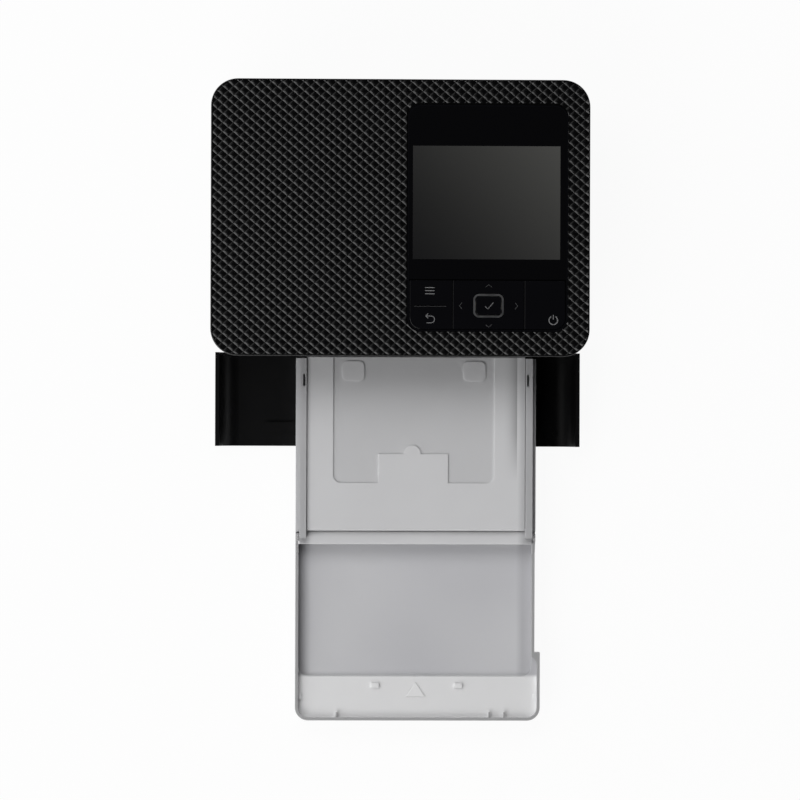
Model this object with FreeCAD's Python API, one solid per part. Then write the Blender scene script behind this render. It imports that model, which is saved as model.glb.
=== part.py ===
"""Compact photo printer with its front cover open and its paper cassette in place.

Millimetres. +X is to the right seen from the front, +Y to the back, +Z up.
The desk is at Z = 0. The model is drawn about the middle of the printer body, and at
the end every piece is moved along Y, so that the origin lies on the desk under the
middle of the whole object as it stands, with the cassette and its lid out in front.
"""
import FreeCAD, Part
import math
import os

Vector = FreeCAD.Vector
X_AXIS = Vector(1, 0, 0)
Y_AXIS = Vector(0, 1, 0)
Z_AXIS = Vector(0, 0, 1)
FULL_TURN = 360.0
HALF_TURN = 180.0

# Body
CORNER_RADIUS = 13.0
COVER_HEIGHT = 8.6
WALL = 2.0
HOUSING_INSET = 1.4
FOOT_HEIGHT = 2.0
FLOOR_THICKNESS = 2.0
COVER_EDGE_ROUND = 0.6
RELIEF_BORDER = 0.7
RELIEF_DEPTH = 0.4
HOUSING_EDGE_ROUND = 1.2

# Clearances shared by everything
RUNNING_FIT = 0.05
SEAT_GAP = 0.3
SIDE_GAP = 0.2
CUT_OVERRUN = 1.0

# Feet and screws
FOOT_RADIUS = 5.0
FOOT_EDGE_INSET = 12.0
FOOT_SEAT_DEPTH = 0.6
BOSS_RADIUS = 3.2
BOSS_EDGE_INSET = 5.2
SCREW_RADIUS = 1.2
SCREW_HEAD_RADIUS = 2.4
SCREW_HEAD_HEIGHT = 1.2
SCREW_LENGTH = 9.0

# Front bezel and its two mouths
BEZEL_THICKNESS = 1.8
BEZEL_SET_BACK = 10.1
EXIT_DROP = 2.0
EXIT_RISE = 7.0
EXIT_MARGIN = 2.1
MOUTH_LIP = 3.0

# Front cover
FRONT_COVER_THICKNESS = 2.0
FRONT_COVER_TOP_GAP = 0.4
FRONT_COVER_BOTTOM_GAP = 0.5
FRONT_HINGE_INSET = 1.2
FRONT_HINGE_RISE = 0.1
FRONT_KNUCKLE_RADIUS = 1.6
FRONT_KNUCKLE_WIDTH = 3.0
FRONT_EAR_WIDTH = 6.0
FRONT_EAR_EDGE_INSET = 17.7
FRONT_PIN_RADIUS = 0.9
FRONT_PIN_LENGTH = 11.0
PULL_HEIGHT = 1.2
PULL_DEPTH = 4.8
PULL_END_INSET = 7.0
PULL_SIDE_INSET = 23.7
COVER_PIP_RADIUS = 1.1
COVER_PIP_HEIGHT = 1.4
COVER_PIP_EDGE_INSET = 6.5

# Cassette
CASSETTE_BOTTOM_Z = 9.0
CASSETTE_OUT_LENGTH = 90.8
CASSETTE_FACE_GAP = 0.7
CASSETTE_REAR_REACH = 6.0
INSERT_SIDE = 2.6
CASSETTE_SHOULDER_WIDTH = 5.3
INSERT_HEIGHT = 10.0
CASSETTE_WALL = 1.6
CASSETTE_CORNER_RADIUS = 4.3
LID_END_RADIUS = 6.4
PAPER_SPACE_WIDTH = 101.8
RAIL_HEIGHT = 16.0
RAIL_WIDTH = 5.2
RAIL_STEP_DROP = 4.5
RAIL_STEP_INSET = 1.8
FRONT_DECK_DROP = 4.4
FRONT_DECK_DEPTH = 6.0
LEDGE_WIDTH = 1.8
LEDGE_THICKNESS = 1.6
REAR_NOTCH_INSET = 15.9
REAR_NOTCH_RISE = 5.4
RAIL_SLOT_LENGTH = 5.8
RAIL_SLOT_WIDTH = 1.2
RAIL_SLOT_INSET = 1.1
RAIL_SLOT_SET_BACK = 7.7
RAIL_SLOT_DEPTH = 2.2

# Lift plate in the cassette
LIFT_PLATE_REACH = 63.0
LIFT_REAR_GAP = 2.0
LIFT_THICKNESS = 1.0
LIFT_PIN_RADIUS = 0.8
LIFT_SIDE_GAP = 0.6
LIFT_PIN_RISE = 1.6
LIFT_WINDOW_WIDTH = 14.0
LIFT_WINDOW_LENGTH = 30.0

# Inner lid of the cassette
INNER_LID_DROP = 1.0
INNER_LID_THICKNESS = 2.0
INNER_LID_REAR_GAP = 0.6
INNER_PIVOT_INSET = 7.6
INNER_PIVOT_DROP = 1.2
INNER_PIN_RADIUS = 0.7
INNER_RECESS_DEPTH = 0.5
INNER_RECESS_INSET = 11.6
INNER_RECESS_LENGTH = 61.6
INNER_RECESS_SHIFT_X = -1.2
INNER_RECESS_RADIUS = 3.9
INNER_TONGUE_WIDTH = 34.2
INNER_TONGUE_LENGTH = 14.2
INNER_TONGUE_SHIFT_X = -1.4
INNER_BUMP_RADIUS = 4.2
INNER_BUMP_SHIFT_X = -1.9
INNER_TAB_WIDTH = 11.0
INNER_TAB_LENGTH = 9.8
INNER_TAB_HEIGHT = 0.4
INNER_TAB_SPACING = 59.3
INNER_TAB_SET_BACK = 2.0

# Outer lid of the cassette, folded open
OUTER_PIVOT_INSET = 3.0
OUTER_PIVOT_DROP = 6.8
OUTER_PIN_RADIUS = 1.1
OUTER_PIN_LENGTH = 1.7
OUTER_LID_REACH = 87.0
OUTER_LID_THICKNESS = 1.6
OUTER_LID_START_GAP = 0.5
OUTER_SKIRT_THICKNESS = 1.5
OUTER_SKIRT_HEIGHT = 6.0
OUTER_ARM_RADIUS = 2.2
OUTER_ARM_GAP = 0.4
STRIP_LENGTH = 20.0
STRIP_RAISE = 1.8
LATCH_BUMP_LENGTH = 3.8
LATCH_BUMP_DEPTH = 2.2
LATCH_BUMP_HEIGHT = 1.0
LATCH_BUMP_SPACING = 40.9
LATCH_BUMP_SHIFT_X = 1.0
LATCH_BUMP_FROM_END = 17.0
CATCH_LENGTH = 2.8
CATCH_DEPTH = 1.6
CATCH_FROM_END = 11.6
END_RIB_WIDTH = 0.8
END_RIB_LENGTH = 2.6
GRIP_FLARE = 2.7
GRIP_FLARE_LENGTH = 33.5

# Paper path and its rollers: places are along Y, and heights from the paper's plane
PAPER_RISE = 3.0
ROLLER_GAP = 0.15
ROLLER_MARGIN = 1.1
SHAFT_RADIUS = 1.5
PLATEN_RADIUS = 4.0
PICK_SUPPLY_GAP = 10.0
PICK_DROP = 6.5
PICK_RADIUS = 5.9
PICK_TYRE_WIDTH = 14.0
PICK_TYRE_SPACING = 46.0
CAPSTAN_SPOOL_GAP = 14.0
CAPSTAN_WALL_GAP = 9.1
CAPSTAN_RADIUS = 3.0
EJECT_BEZEL_GAP = 8.2
EJECT_SPOOL_GAP = 39.0
EJECT_RADIUS = 4.0
PINCH_RADIUS = 3.0
TYRE_WIDTH = 9.0
TYRE_SPACING = 26.0
TYRE_COUNT = 4

# Chassis plates left and right of the paper path
PLATE_THICKNESS = 1.0
LEFT_PLATE_GAP = 7.5
RIGHT_PLATE_GAP = 3.5
PLATE_TOP_GAP = 10.0
PLATE_FRONT_GAP = 2.2
PLATE_REAR_GAP = 1.1
PLATE_CORNER_RADIUS = 3.0
PLATE_TAB_WIDTH = 9.0
PLATE_TAB_LENGTH = 8.0
BRIDGE_THICKNESS = 1.2
BRIDGE_RIB = 2.0
GUIDE_THICKNESS = 0.9
GUIDE_DROP = 1.2
GUIDE_ROLLER_GAP = 1.0
BUSH_RADIUS = 2.6
BUSH_FLANGE_RADIUS = 3.6
BUSH_FLANGE_THICKNESS = 0.8
BUSH_LENGTH = 2.4

# Gears, outside the left plate
GEAR_MODULE = 0.8
GEAR_WIDTH = 4.0
GEAR_PLATE_GAP = 2.0
GEAR_BACKLASH = 0.2
GEAR_ADDENDUM = 0.9
GEAR_DEDENDUM = 1.2
PRESSURE_ANGLE = 20.0
FEED_TEETH = 18
IDLER_TEETH = 24
PINION_TEETH = 10
SPINDLE_TEETH = 16
IDLER_A_ANGLE = 200.0
IDLER_C_ANGLE = 190.0
FEED_PINION_ANGLE = 100.0
RIBBON_PINION_ANGLE = 30.0
GEAR_WEB_THICKNESS = 2.0
GEAR_RIM = 2.2
GEAR_HUB_RADIUS = 3.0
POST_RADIUS = 1.5
GEAR_PLATE_THICKNESS = 1.0
GEAR_PLATE_MARGIN = 5.0

# Motors and fan
FEED_MOTOR_RADIUS = 12.0
FEED_MOTOR_LENGTH = 22.0
RIBBON_MOTOR_RADIUS = 7.0
RIBBON_MOTOR_LENGTH = 12.5
MOTOR_SHAFT_RADIUS = 1.0
MOTOR_BOSS_RADIUS = 3.0
MOTOR_BOSS_HEIGHT = 1.0
MOTOR_END_ROUND = 1.0
MOTOR_WALL_GAP = 3.5
FAN_SIZE = 30.0
FAN_DEPTH = 8.0
FAN_EJECT_GAP = 20.0
FAN_CENTRE_Z = 25.0
FAN_BORE_RADIUS = 13.6
FAN_WALL = 1.0
FAN_HUB_RADIUS = 6.0
FAN_BLADE_COUNT = 7
FAN_BLADE_THICKNESS = 0.9
FAN_BLADE_TIP_GAP = 0.7
FAN_SPIDER_RADIUS = 7.5
FAN_ARM_WIDTH = 2.0
FAN_AXLE_RADIUS = 1.0
VENT_COUNT = 7
VENT_WIDTH = 2.0
VENT_PITCH = 3.8
VENT_HEIGHT = 22.0

# Ink cartridge
CARTRIDGE_END_LENGTH = 33.2
CARTRIDGE_END_GAP = 1.9
CARTRIDGE_LEFT_GAP = 3.0
TUBE_RADIUS = 8.8
TUBE_WALL = 1.0
TUBE_RISE = 10.5
CARTRIDGE_TOP_GAP = 4.6
SPOOL_SPACING = 46.0
TUBE_SLOT_WIDTH = 3.0
BAR_RISE = 2.6
BAR_THICKNESS = 2.2
FAR_BAR_WIDTH = 3.5
NEAR_BAR_WIDTH = 22.0
SPOOL_CORE_RADIUS = 3.6
SUPPLY_ROLL_RADIUS = 6.6
TAKEUP_ROLL_RADIUS = 4.6
SPOOL_FLANGE_RADIUS = 7.3
SPOOL_FLANGE_THICKNESS = 1.0
SPOOL_HUB_RADIUS = 3.2
SPOOL_JOURNAL_RADIUS = 2.5
SPOOL_BEARING_WALL = 1.5
SOCKET_DEPTH = 5.0
DOG_RADIUS = 1.6
DOG_FIN_RADIUS = 2.3
DOG_FIN_WIDTH = 0.9
DOG_FIN_COUNT = 3
DOG_CLEARANCE = 0.25
DOG_REACH = 4.0
RIBBON_INSET = 1.9
RIBBON_THICKNESS = 0.12
RIBBON_LIFT = 0.44
RIBBON_FLAT_DEPTH = 16.0

# Thermal head, its guides and its cam
HEAD_MARGIN = 1.1
HEAD_RISE = 5.4
HEAD_TRAVEL = 4.6
HEAD_DEPTH = 10.0
HEAD_CERAMIC_DEPTH = 5.0
HEAD_CERAMIC_THICKNESS = 1.2
HEAD_BEAD_RADIUS = 0.5
HEAD_BASE_THICKNESS = 4.0
HEAT_SINK_HEIGHT = 8.2
HEAT_SINK_BASE = 2.0
HEAT_SINK_FIN = 1.2
HEAT_SINK_FIN_COUNT = 4
GUIDE_POST_RADIUS = 1.2
GUIDE_POST_INSET = 4.0
GUIDE_POST_RISE = 7.2
FOLLOWER_RADIUS = 1.2
FOLLOWER_RISE = 13.0
FOLLOWER_SLOT_GAP = 0.4
CAM_RISE = 18.0
CAM_TURN = 120.0
CAM_EXTRA_TURN = 18.0
CAM_HUB_RADIUS = 3.2
CAM_WIDTH = 3.4
CAM_CLEARANCE = 0.2
CAM_POINTS = 13

# Ink door in the right wall, and the cartridge lever
DOOR_SPOOL_MARGIN = 13.0
DOOR_BOTTOM_Z = 8.0
DOOR_TOP_GAP = 0.5
DOOR_THICKNESS = 1.8
DOOR_HINGE_RISE = 1.5
DOOR_HINGE_DEPTH = 1.0
DOOR_PIN_RADIUS = 0.6
DOOR_KNUCKLE_RADIUS = 1.3
DOOR_KNUCKLE_WIDTH = 8.0
DOOR_RIB = 1.2
LEVER_SPOOL_GAP = 7.0
LEVER_PIVOT_Z = 19.0
LEVER_LENGTH = 22.0
LEVER_WIDTH = 5.0
LEVER_THICKNESS = 2.4
LEVER_HUB_RADIUS = 3.6
LEVER_GAP = 1.0
LEVER_PIN_RADIUS = 1.5

# Control panel
PANEL_WIDTH = 77.2
PANEL_SIDE_INSET = 10.6
PANEL_FRONT_INSET = 11.9
PANEL_BACK_BORDER = 20.1
PANEL_RADIUS = 6.7
PANEL_RIM = 0.9
PANEL_FRAME_DEPTH = 3.6
PANEL_FLANGE = 2.0
PANEL_FLANGE_THICKNESS = 1.2
PANEL_FLOOR_THICKNESS = 1.2
KEY_FIELD_DEPTH = 24.9
LENS_THICKNESS = 1.5
SCREEN_SIDE_INSET = 3.1
SCREEN_WIDTH = 70.8
SCREEN_FRONT_RISE = 9.2
SCREEN_DEPTH = 54.7
LCD_THICKNESS = 4.0
LCD_MARGIN = 1.6
LCD_WINDOW_GAP = 0.6

# Keys
ROCKER_FIELD_WIDTH = 21.8
PAD_FIELD_WIDTH = 34.5
KEY_GAP = 0.3
KEY_THICKNESS = 1.5
KEY_EDGE_ROUND = 0.25
KEY_RECESS = 0.1
KEY_LIP = 0.5
KEY_STEM_RADIUS = 1.4
KEY_STEM_LENGTH = 2.0
KEY_TRAVEL = 0.35
ROCKER_AXLE_RADIUS = 0.6
ROCKER_SLIT_WIDTH = 0.5
ROCKER_SLIT_LENGTH = 15.6
PAD_AXLE_RADIUS = 0.5
PAD_AXLE_DROP = 2.4
GIMBAL_RADIUS = 6.6
GIMBAL_BORE_RADIUS = 3.4
GIMBAL_THICKNESS = 1.2
GIMBAL_PIN_LENGTH = 1.6
PAD_LUG_WIDTH = 1.4
CENTRE_KEY_WIDTH = 12.2
CENTRE_KEY_DEPTH = 8.9
CENTRE_KEY_RADIUS = 1.6
CENTRE_RING_WIDTH = 0.9
CENTRE_RING_HEIGHT = 0.25
CENTRE_STEM_RADIUS = 2.2
KEY_BOARD_THICKNESS = 1.2
DOME_RADIUS = 2.4
DOME_HEIGHT = 0.7
MEMBRANE_THICKNESS = 0.5

# Boards and connectors
BOARD_THICKNESS = 1.6
MAIN_BOARD_GAP = 6.0
MAIN_BOARD_INSET = 1.0
MAIN_BOARD_LENGTH = 51.0
MAIN_BOARD_BOTTOM_Z = 6.5
MAIN_BOARD_TOP_GAP = 11.6
CHIP_SIZE = 12.0
CHIP_THICKNESS = 1.2
CAPACITOR_RADIUS = 2.5
CAPACITOR_HEIGHT = 4.0
IO_BOARD_INSET = 7.0
IO_BOARD_LENGTH = 26.0
IO_BOARD_RISE = 8.0
IO_BOARD_LEFT_GAP = 1.5
CARD_SLOT_WIDTH = 25.6
CARD_SLOT_DEPTH = 17.0
CARD_SLOT_HEIGHT = 3.6
CARD_MOUTH_HEIGHT = 2.6
CARD_SHELL = 0.4
USB_WIDTH = 9.4
USB_DEPTH = 7.4
USB_HEIGHT = 3.4
USB_SHELL = 0.35
USB_TONGUE = 0.7
JACK_WIDTH = 10.0
JACK_DEPTH = 13.0
JACK_HEIGHT = 11.0
JACK_WALL_GAP = 18.7
JACK_CENTRE_Z = 16.0
JACK_BORE_RADIUS = 3.2
JACK_BORE_DEPTH = 9.5
JACK_PIN_RADIUS = 0.8
REAR_SLOT_HEIGHT = 8.0
REAR_SLOT_MARGIN = 3.1
# Places of the three ribs on the outer lid's end wall, across the cassette
END_RIB_SHARES = (0.174, 0.812, 0.874)
# Places on the rocker and on the main board, as shares of the piece that carries them
ROCKER_CHEEK_SHARES = (0.12, 0.88)
CHIP_SHARES = ((0.35, 0.6), (0.65, 0.3))
CAPACITOR_SHARES = ((0.12, 0.2), (0.12, 0.4), (0.88, 0.8))
BOARD_FOOT_SHARES = (0.15, 0.85)

# Worked out from the sizes above
INSERT_TOP_Z = CASSETTE_BOTTOM_Z + INSERT_HEIGHT
TRAY_FLOOR_Z = CASSETTE_BOTTOM_Z + CASSETTE_WALL
LIFT_PIN_Z = TRAY_FLOOR_Z + LIFT_PIN_RISE
REAR_NOTCH_Z = CASSETTE_BOTTOM_Z + REAR_NOTCH_RISE
RAIL_TOP_Z = CASSETTE_BOTTOM_Z + RAIL_HEIGHT
RAIL_STEP_Z = RAIL_TOP_Z - RAIL_STEP_DROP
FRONT_DECK_TOP_Z = RAIL_TOP_Z - FRONT_DECK_DROP
OUTER_PIVOT_Z = RAIL_TOP_Z - OUTER_PIVOT_DROP
INNER_LID_TOP_Z = RAIL_TOP_Z - INNER_LID_DROP
INNER_PIVOT_Z = INNER_LID_TOP_Z - INNER_PIVOT_DROP
# The paper's path runs level, and what works on it is placed above and below it
PAPER_PLANE_Z = RAIL_TOP_Z + PAPER_RISE
EXIT_BOTTOM_Z = PAPER_PLANE_Z - EXIT_DROP
EXIT_TOP_Z = PAPER_PLANE_Z + EXIT_RISE
PICK_Z = PAPER_PLANE_Z - PICK_DROP
BAR_BOTTOM_Z = PAPER_PLANE_Z + BAR_RISE
HEAD_BOTTOM_Z = PAPER_PLANE_Z + HEAD_RISE
GUIDE_POST_BOTTOM_Z = PAPER_PLANE_Z + GUIDE_POST_RISE
IO_BOARD_Z = PAPER_PLANE_Z + IO_BOARD_RISE
TUBE_Z = PAPER_PLANE_Z + TUBE_RISE
FOLLOWER_Z = PAPER_PLANE_Z + FOLLOWER_RISE
CAM_Z = PAPER_PLANE_Z + CAM_RISE
# The cartridge and the screen above it set the body's height
BODY_HEIGHT = (TUBE_Z + TUBE_RADIUS + CARTRIDGE_TOP_GAP + LCD_THICKNESS + SIDE_GAP
               + LENS_THICKNESS)
PLATE_TOP_Z = BODY_HEIGHT - PLATE_TOP_GAP
MAIN_BOARD_TOP_Z = BODY_HEIGHT - MAIN_BOARD_TOP_GAP
# The paper sets the cassette's width
INSERT_WIDTH = PAPER_SPACE_WIDTH + 2 * INSERT_SIDE
CASSETTE_WIDTH = INSERT_WIDTH + 2 * CASSETTE_SHOULDER_WIDTH
EXIT_WIDTH = PAPER_SPACE_WIDTH + 2 * EXIT_MARGIN
ROLLER_SPAN = PAPER_SPACE_WIDTH + 2 * ROLLER_MARGIN
REAR_NOTCH_WIDTH = PAPER_SPACE_WIDTH - 2 * REAR_NOTCH_INSET
CARTRIDGE_LENGTH = PAPER_SPACE_WIDTH + CARTRIDGE_END_LENGTH
RIBBON_WIDTH = PAPER_SPACE_WIDTH - 2 * RIBBON_INSET
HEAD_WIDTH = PAPER_SPACE_WIDTH + 2 * HEAD_MARGIN
REAR_SLOT_WIDTH = PAPER_SPACE_WIDTH + 2 * REAR_SLOT_MARGIN
INNER_RECESS_WIDTH = PAPER_SPACE_WIDTH - 2 * INNER_RECESS_INSET
# What the body holds beside the cassette's narrow end: gears and motors on the left,
# the end of the ink cartridge on the right
LEFT_WORKS_WIDTH = (LEFT_PLATE_GAP + PLATE_THICKNESS + 2 * GEAR_PLATE_GAP + GEAR_WIDTH
                    + GEAR_PLATE_THICKNESS + FEED_MOTOR_LENGTH + MOTOR_WALL_GAP
                    + WALL + HOUSING_INSET)
RIGHT_WORKS_WIDTH = (CARTRIDGE_LENGTH + CARTRIDGE_LEFT_GAP - LEFT_PLATE_GAP - INSERT_WIDTH
                     + CARTRIDGE_END_GAP + WALL + HOUSING_INSET)
BODY_WIDTH = LEFT_WORKS_WIDTH + INSERT_WIDTH + RIGHT_WORKS_WIDTH
CASSETTE_CENTRE_X = (LEFT_WORKS_WIDTH - RIGHT_WORKS_WIDTH) / 2
# The rollers and spools along the paper's path set the body's depth
BODY_DEPTH = (HOUSING_INSET + BEZEL_SET_BACK + BEZEL_THICKNESS + EJECT_BEZEL_GAP
              + EJECT_SPOOL_GAP + SPOOL_SPACING + CAPSTAN_SPOOL_GAP + CAPSTAN_WALL_GAP
              + WALL + HOUSING_INSET)
HALF_W = BODY_WIDTH / 2
HALF_D = BODY_DEPTH / 2
SEAM_Z = BODY_HEIGHT - COVER_HEIGHT
HOUSE_X = HALF_W - HOUSING_INSET
HOUSE_Y = HALF_D - HOUSING_INSET
HOUSE_RADIUS = CORNER_RADIUS - HOUSING_INSET
INNER_X = HOUSE_X - WALL
INNER_Y = HOUSE_Y - WALL
FLOOR_TOP = FOOT_HEIGHT + FLOOR_THICKNESS
WALL_FRONT_Y = HOUSE_RADIUS - HOUSE_Y
BEZEL_FRONT_Y = BEZEL_SET_BACK - HOUSE_Y
BEZEL_REAR_Y = BEZEL_FRONT_Y + BEZEL_THICKNESS
EJECT_Y = BEZEL_REAR_Y + EJECT_BEZEL_GAP
SUPPLY_Y = EJECT_Y + EJECT_SPOOL_GAP
TAKEUP_Y = SUPPLY_Y + SPOOL_SPACING
PLATEN_Y = (SUPPLY_Y + TAKEUP_Y) / 2
CAPSTAN_Y = TAKEUP_Y + CAPSTAN_SPOOL_GAP
PICK_Y = SUPPLY_Y + PICK_SUPPLY_GAP
PLATE_FRONT_Y = BEZEL_REAR_Y + PLATE_FRONT_GAP
PLATE_REAR_Y = INNER_Y - PLATE_REAR_GAP
FAN_CENTRE_Y = EJECT_Y + FAN_EJECT_GAP
DOOR_FRONT_Y = SUPPLY_Y - DOOR_SPOOL_MARGIN
DOOR_REAR_Y = TAKEUP_Y + DOOR_SPOOL_MARGIN
LEVER_PIVOT_Y = SUPPLY_Y - LEVER_SPOOL_GAP
MAIN_BOARD_FRONT_Y = PLATE_FRONT_Y + MAIN_BOARD_INSET
MAIN_BOARD_REAR_Y = MAIN_BOARD_FRONT_Y + MAIN_BOARD_LENGTH
IO_BOARD_FRONT_Y = BEZEL_REAR_Y + IO_BOARD_INSET
IO_BOARD_REAR_Y = IO_BOARD_FRONT_Y + IO_BOARD_LENGTH
CASSETTE_REAR_Y = PLATEN_Y + CASSETTE_REAR_REACH
CASSETTE_SHOULDER_Y = -HALF_D - CASSETTE_FACE_GAP
CASSETTE_FRONT_Y = CASSETTE_SHOULDER_Y - CASSETTE_OUT_LENGTH
RAIL_SLOT_BACK_Y = CASSETTE_SHOULDER_Y - RAIL_SLOT_SET_BACK
LIFT_FRONT_Y = CASSETTE_REAR_Y - LIFT_PLATE_REACH
INNER_PIVOT_Y = CASSETTE_FRONT_Y + INNER_PIVOT_INSET
OUTER_PIVOT_Y = CASSETTE_FRONT_Y + OUTER_PIVOT_INSET
OUTER_LID_END_Y = CASSETTE_FRONT_Y - OUTER_LID_REACH
FRONT_HINGE_Y = FRONT_HINGE_INSET - HOUSE_Y
FRONT_HINGE_Z = FOOT_HEIGHT + FRONT_HINGE_RISE
FRONT_EAR_X = HOUSE_X - FRONT_EAR_EDGE_INSET
APRON_FRONT_Y = FRONT_HINGE_Y + FRONT_KNUCKLE_RADIUS + SEAT_GAP

CASSETTE_LEFT = CASSETTE_CENTRE_X - CASSETTE_WIDTH / 2
CASSETTE_RIGHT = CASSETTE_CENTRE_X + CASSETTE_WIDTH / 2
INSERT_LEFT = CASSETTE_CENTRE_X - INSERT_WIDTH / 2
INSERT_RIGHT = CASSETTE_CENTRE_X + INSERT_WIDTH / 2
RAIL_INNER_LEFT = CASSETTE_LEFT + RAIL_WIDTH
RAIL_INNER_RIGHT = CASSETTE_RIGHT - RAIL_WIDTH
INNER_LID_REAR_Y = CASSETTE_SHOULDER_Y + INNER_LID_REAR_GAP
LIFT_REAR_Y = CASSETTE_REAR_Y - CASSETTE_WALL - LIFT_REAR_GAP
LIFT_LEFT = CASSETTE_CENTRE_X - PAPER_SPACE_WIDTH / 2 + LIFT_SIDE_GAP
LIFT_RIGHT = CASSETTE_CENTRE_X + PAPER_SPACE_WIDTH / 2 - LIFT_SIDE_GAP
OUTER_LID_START_Y = CASSETTE_FRONT_Y - OUTER_LID_START_GAP
SKIRT_TOP_Z = CASSETTE_BOTTOM_Z + OUTER_SKIRT_HEIGHT

LEFT_PLATE_X = INSERT_LEFT - LEFT_PLATE_GAP
RIGHT_PLATE_X = INSERT_RIGHT + RIGHT_PLATE_GAP
GEAR_RIGHT_X = LEFT_PLATE_X - PLATE_THICKNESS - GEAR_PLATE_GAP
GEAR_LEFT_X = GEAR_RIGHT_X - GEAR_WIDTH
GEAR_PLATE_X = GEAR_LEFT_X - GEAR_PLATE_GAP
SHAFT_LEFT_X = GEAR_LEFT_X - GEAR_PLATE_GAP / 2
ROLLER_LEFT = CASSETTE_CENTRE_X - ROLLER_SPAN / 2
ROLLER_RIGHT = CASSETTE_CENTRE_X + ROLLER_SPAN / 2
UNDER_PAPER = PAPER_PLANE_Z - ROLLER_GAP
OVER_PAPER = PAPER_PLANE_Z + ROLLER_GAP
CAPSTAN_Z = UNDER_PAPER - CAPSTAN_RADIUS
PLATEN_Z = UNDER_PAPER - PLATEN_RADIUS
EJECT_Z = UNDER_PAPER - EJECT_RADIUS
PINCH_Z = OVER_PAPER + PINCH_RADIUS

CARTRIDGE_LEFT = LEFT_PLATE_X + CARTRIDGE_LEFT_GAP
CARTRIDGE_RIGHT = CARTRIDGE_LEFT + CARTRIDGE_LENGTH
TUBE_BOTTOM_Z = TUBE_Z - TUBE_RADIUS
WINDOW_FRONT_Y = SUPPLY_Y - TUBE_RADIUS - SIDE_GAP - CUT_OVERRUN
WINDOW_REAR_Y = TAKEUP_Y + TUBE_RADIUS + SIDE_GAP + CUT_OVERRUN
RAIL_Z = TUBE_BOTTOM_Z - SEAT_GAP
WINDOW_LOW_Z = PAPER_PLANE_Z
DOOR_HINGE_X = HOUSE_X - DOOR_HINGE_DEPTH
DOOR_HINGE_Z = DOOR_BOTTOM_Z + DOOR_HINGE_RISE

PANEL_RIGHT_X = HALF_W - PANEL_SIDE_INSET
PANEL_LEFT_X = PANEL_RIGHT_X - PANEL_WIDTH
PANEL_FRONT_Y = PANEL_FRONT_INSET - HALF_D
KEY_LINE_Y = PANEL_FRONT_Y + KEY_FIELD_DEPTH
SCREEN_LEFT_X = PANEL_LEFT_X + SCREEN_SIDE_INSET
SCREEN_FRONT_Y = KEY_LINE_Y + SCREEN_FRONT_RISE
SCREEN_BACK_Y = SCREEN_FRONT_Y + SCREEN_DEPTH
PANEL_BACK_Y = SCREEN_BACK_Y + PANEL_BACK_BORDER
ROCKER_SPLIT_X = PANEL_LEFT_X + ROCKER_FIELD_WIDTH
POWER_SPLIT_X = ROCKER_SPLIT_X + PAD_FIELD_WIDTH
JACK_CENTRE_X = JACK_WALL_GAP - INNER_X
PULL_HALF_WIDTH = HOUSE_X - PULL_SIDE_INSET
PANEL_TOP_Z = BODY_HEIGHT
PANEL_BOTTOM_Z = PANEL_TOP_Z - PANEL_FRAME_DEPTH
KEY_TOP_Z = PANEL_TOP_Z - KEY_RECESS
KEY_UNDER_Z = KEY_TOP_Z - KEY_THICKNESS
PAD_CENTRE_X = (ROCKER_SPLIT_X + POWER_SPLIT_X) / 2
KEY_FRONT_Y = PANEL_FRONT_Y + PANEL_RIM + KEY_GAP
KEY_BACK_Y = KEY_LINE_Y - KEY_GAP
PAD_CENTRE_Y = (PANEL_FRONT_Y + KEY_LINE_Y) / 2
KEY_LEFT_X = PANEL_LEFT_X + PANEL_RIM + KEY_GAP
KEY_RIGHT_X = PANEL_RIGHT_X - PANEL_RIM - KEY_GAP
STEM_BOTTOM_Z = KEY_UNDER_Z - KEY_STEM_LENGTH
MEMBRANE_TOP_Z = STEM_BOTTOM_Z - KEY_TRAVEL - RUNNING_FIT - DOME_HEIGHT
KEY_BOARD_TOP_Z = MEMBRANE_TOP_Z - MEMBRANE_THICKNESS
LENS_UNDER_Z = PANEL_TOP_Z - LENS_THICKNESS
LCD_TOP_Z = LENS_UNDER_Z - SIDE_GAP


def block(x0, x1, y0, y1, z0, z1):
    """A box between two corners."""
    return Part.makeBox(x1 - x0, y1 - y0, z1 - z0, Vector(x0, y0, z0))


def rod(start, end, radius):
    """A round bar between two points."""
    line = end - start
    return Part.makeCylinder(radius, line.Length, start, line)


def rod_x(x0, x1, y, z, radius):
    """A round bar along X."""
    return rod(Vector(x0, y, z), Vector(x1, y, z), radius)


def rod_y(y0, y1, x, z, radius):
    """A round bar along Y."""
    return rod(Vector(x, y0, z), Vector(x, y1, z), radius)


def rod_z(z0, z1, x, y, radius):
    """A round bar along Z."""
    return rod(Vector(x, y, z0), Vector(x, y, z1), radius)


def arc(centre, radius, start, end):
    """An arc in the XY plane, by its angles in degrees."""
    circle = Part.Circle(centre, Z_AXIS, radius)
    return Part.Arc(circle, math.radians(start), math.radians(end)).toShape()


def rounded_wire(x0, x1, y0, y1, z, radius):
    """A rectangle with four round corners, at height z."""
    quarter = FULL_TURN / 4
    lines = [
        (Vector(x0 + radius, y0, z), Vector(x1 - radius, y0, z)),
        (Vector(x1, y0 + radius, z), Vector(x1, y1 - radius, z)),
        (Vector(x1 - radius, y1, z), Vector(x0 + radius, y1, z)),
        (Vector(x0, y1 - radius, z), Vector(x0, y0 + radius, z)),
    ]
    centres = [
        Vector(x1 - radius, y0 + radius, z),
        Vector(x1 - radius, y1 - radius, z),
        Vector(x0 + radius, y1 - radius, z),
        Vector(x0 + radius, y0 + radius, z),
    ]
    edges = []
    for index, (line, centre) in enumerate(zip(lines, centres)):
        edges.append(Part.LineSegment(*line).toShape())
        start = (index - 1) * quarter
        edges.append(arc(centre, radius, start, start + quarter))
    return Part.Wire(edges)


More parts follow.
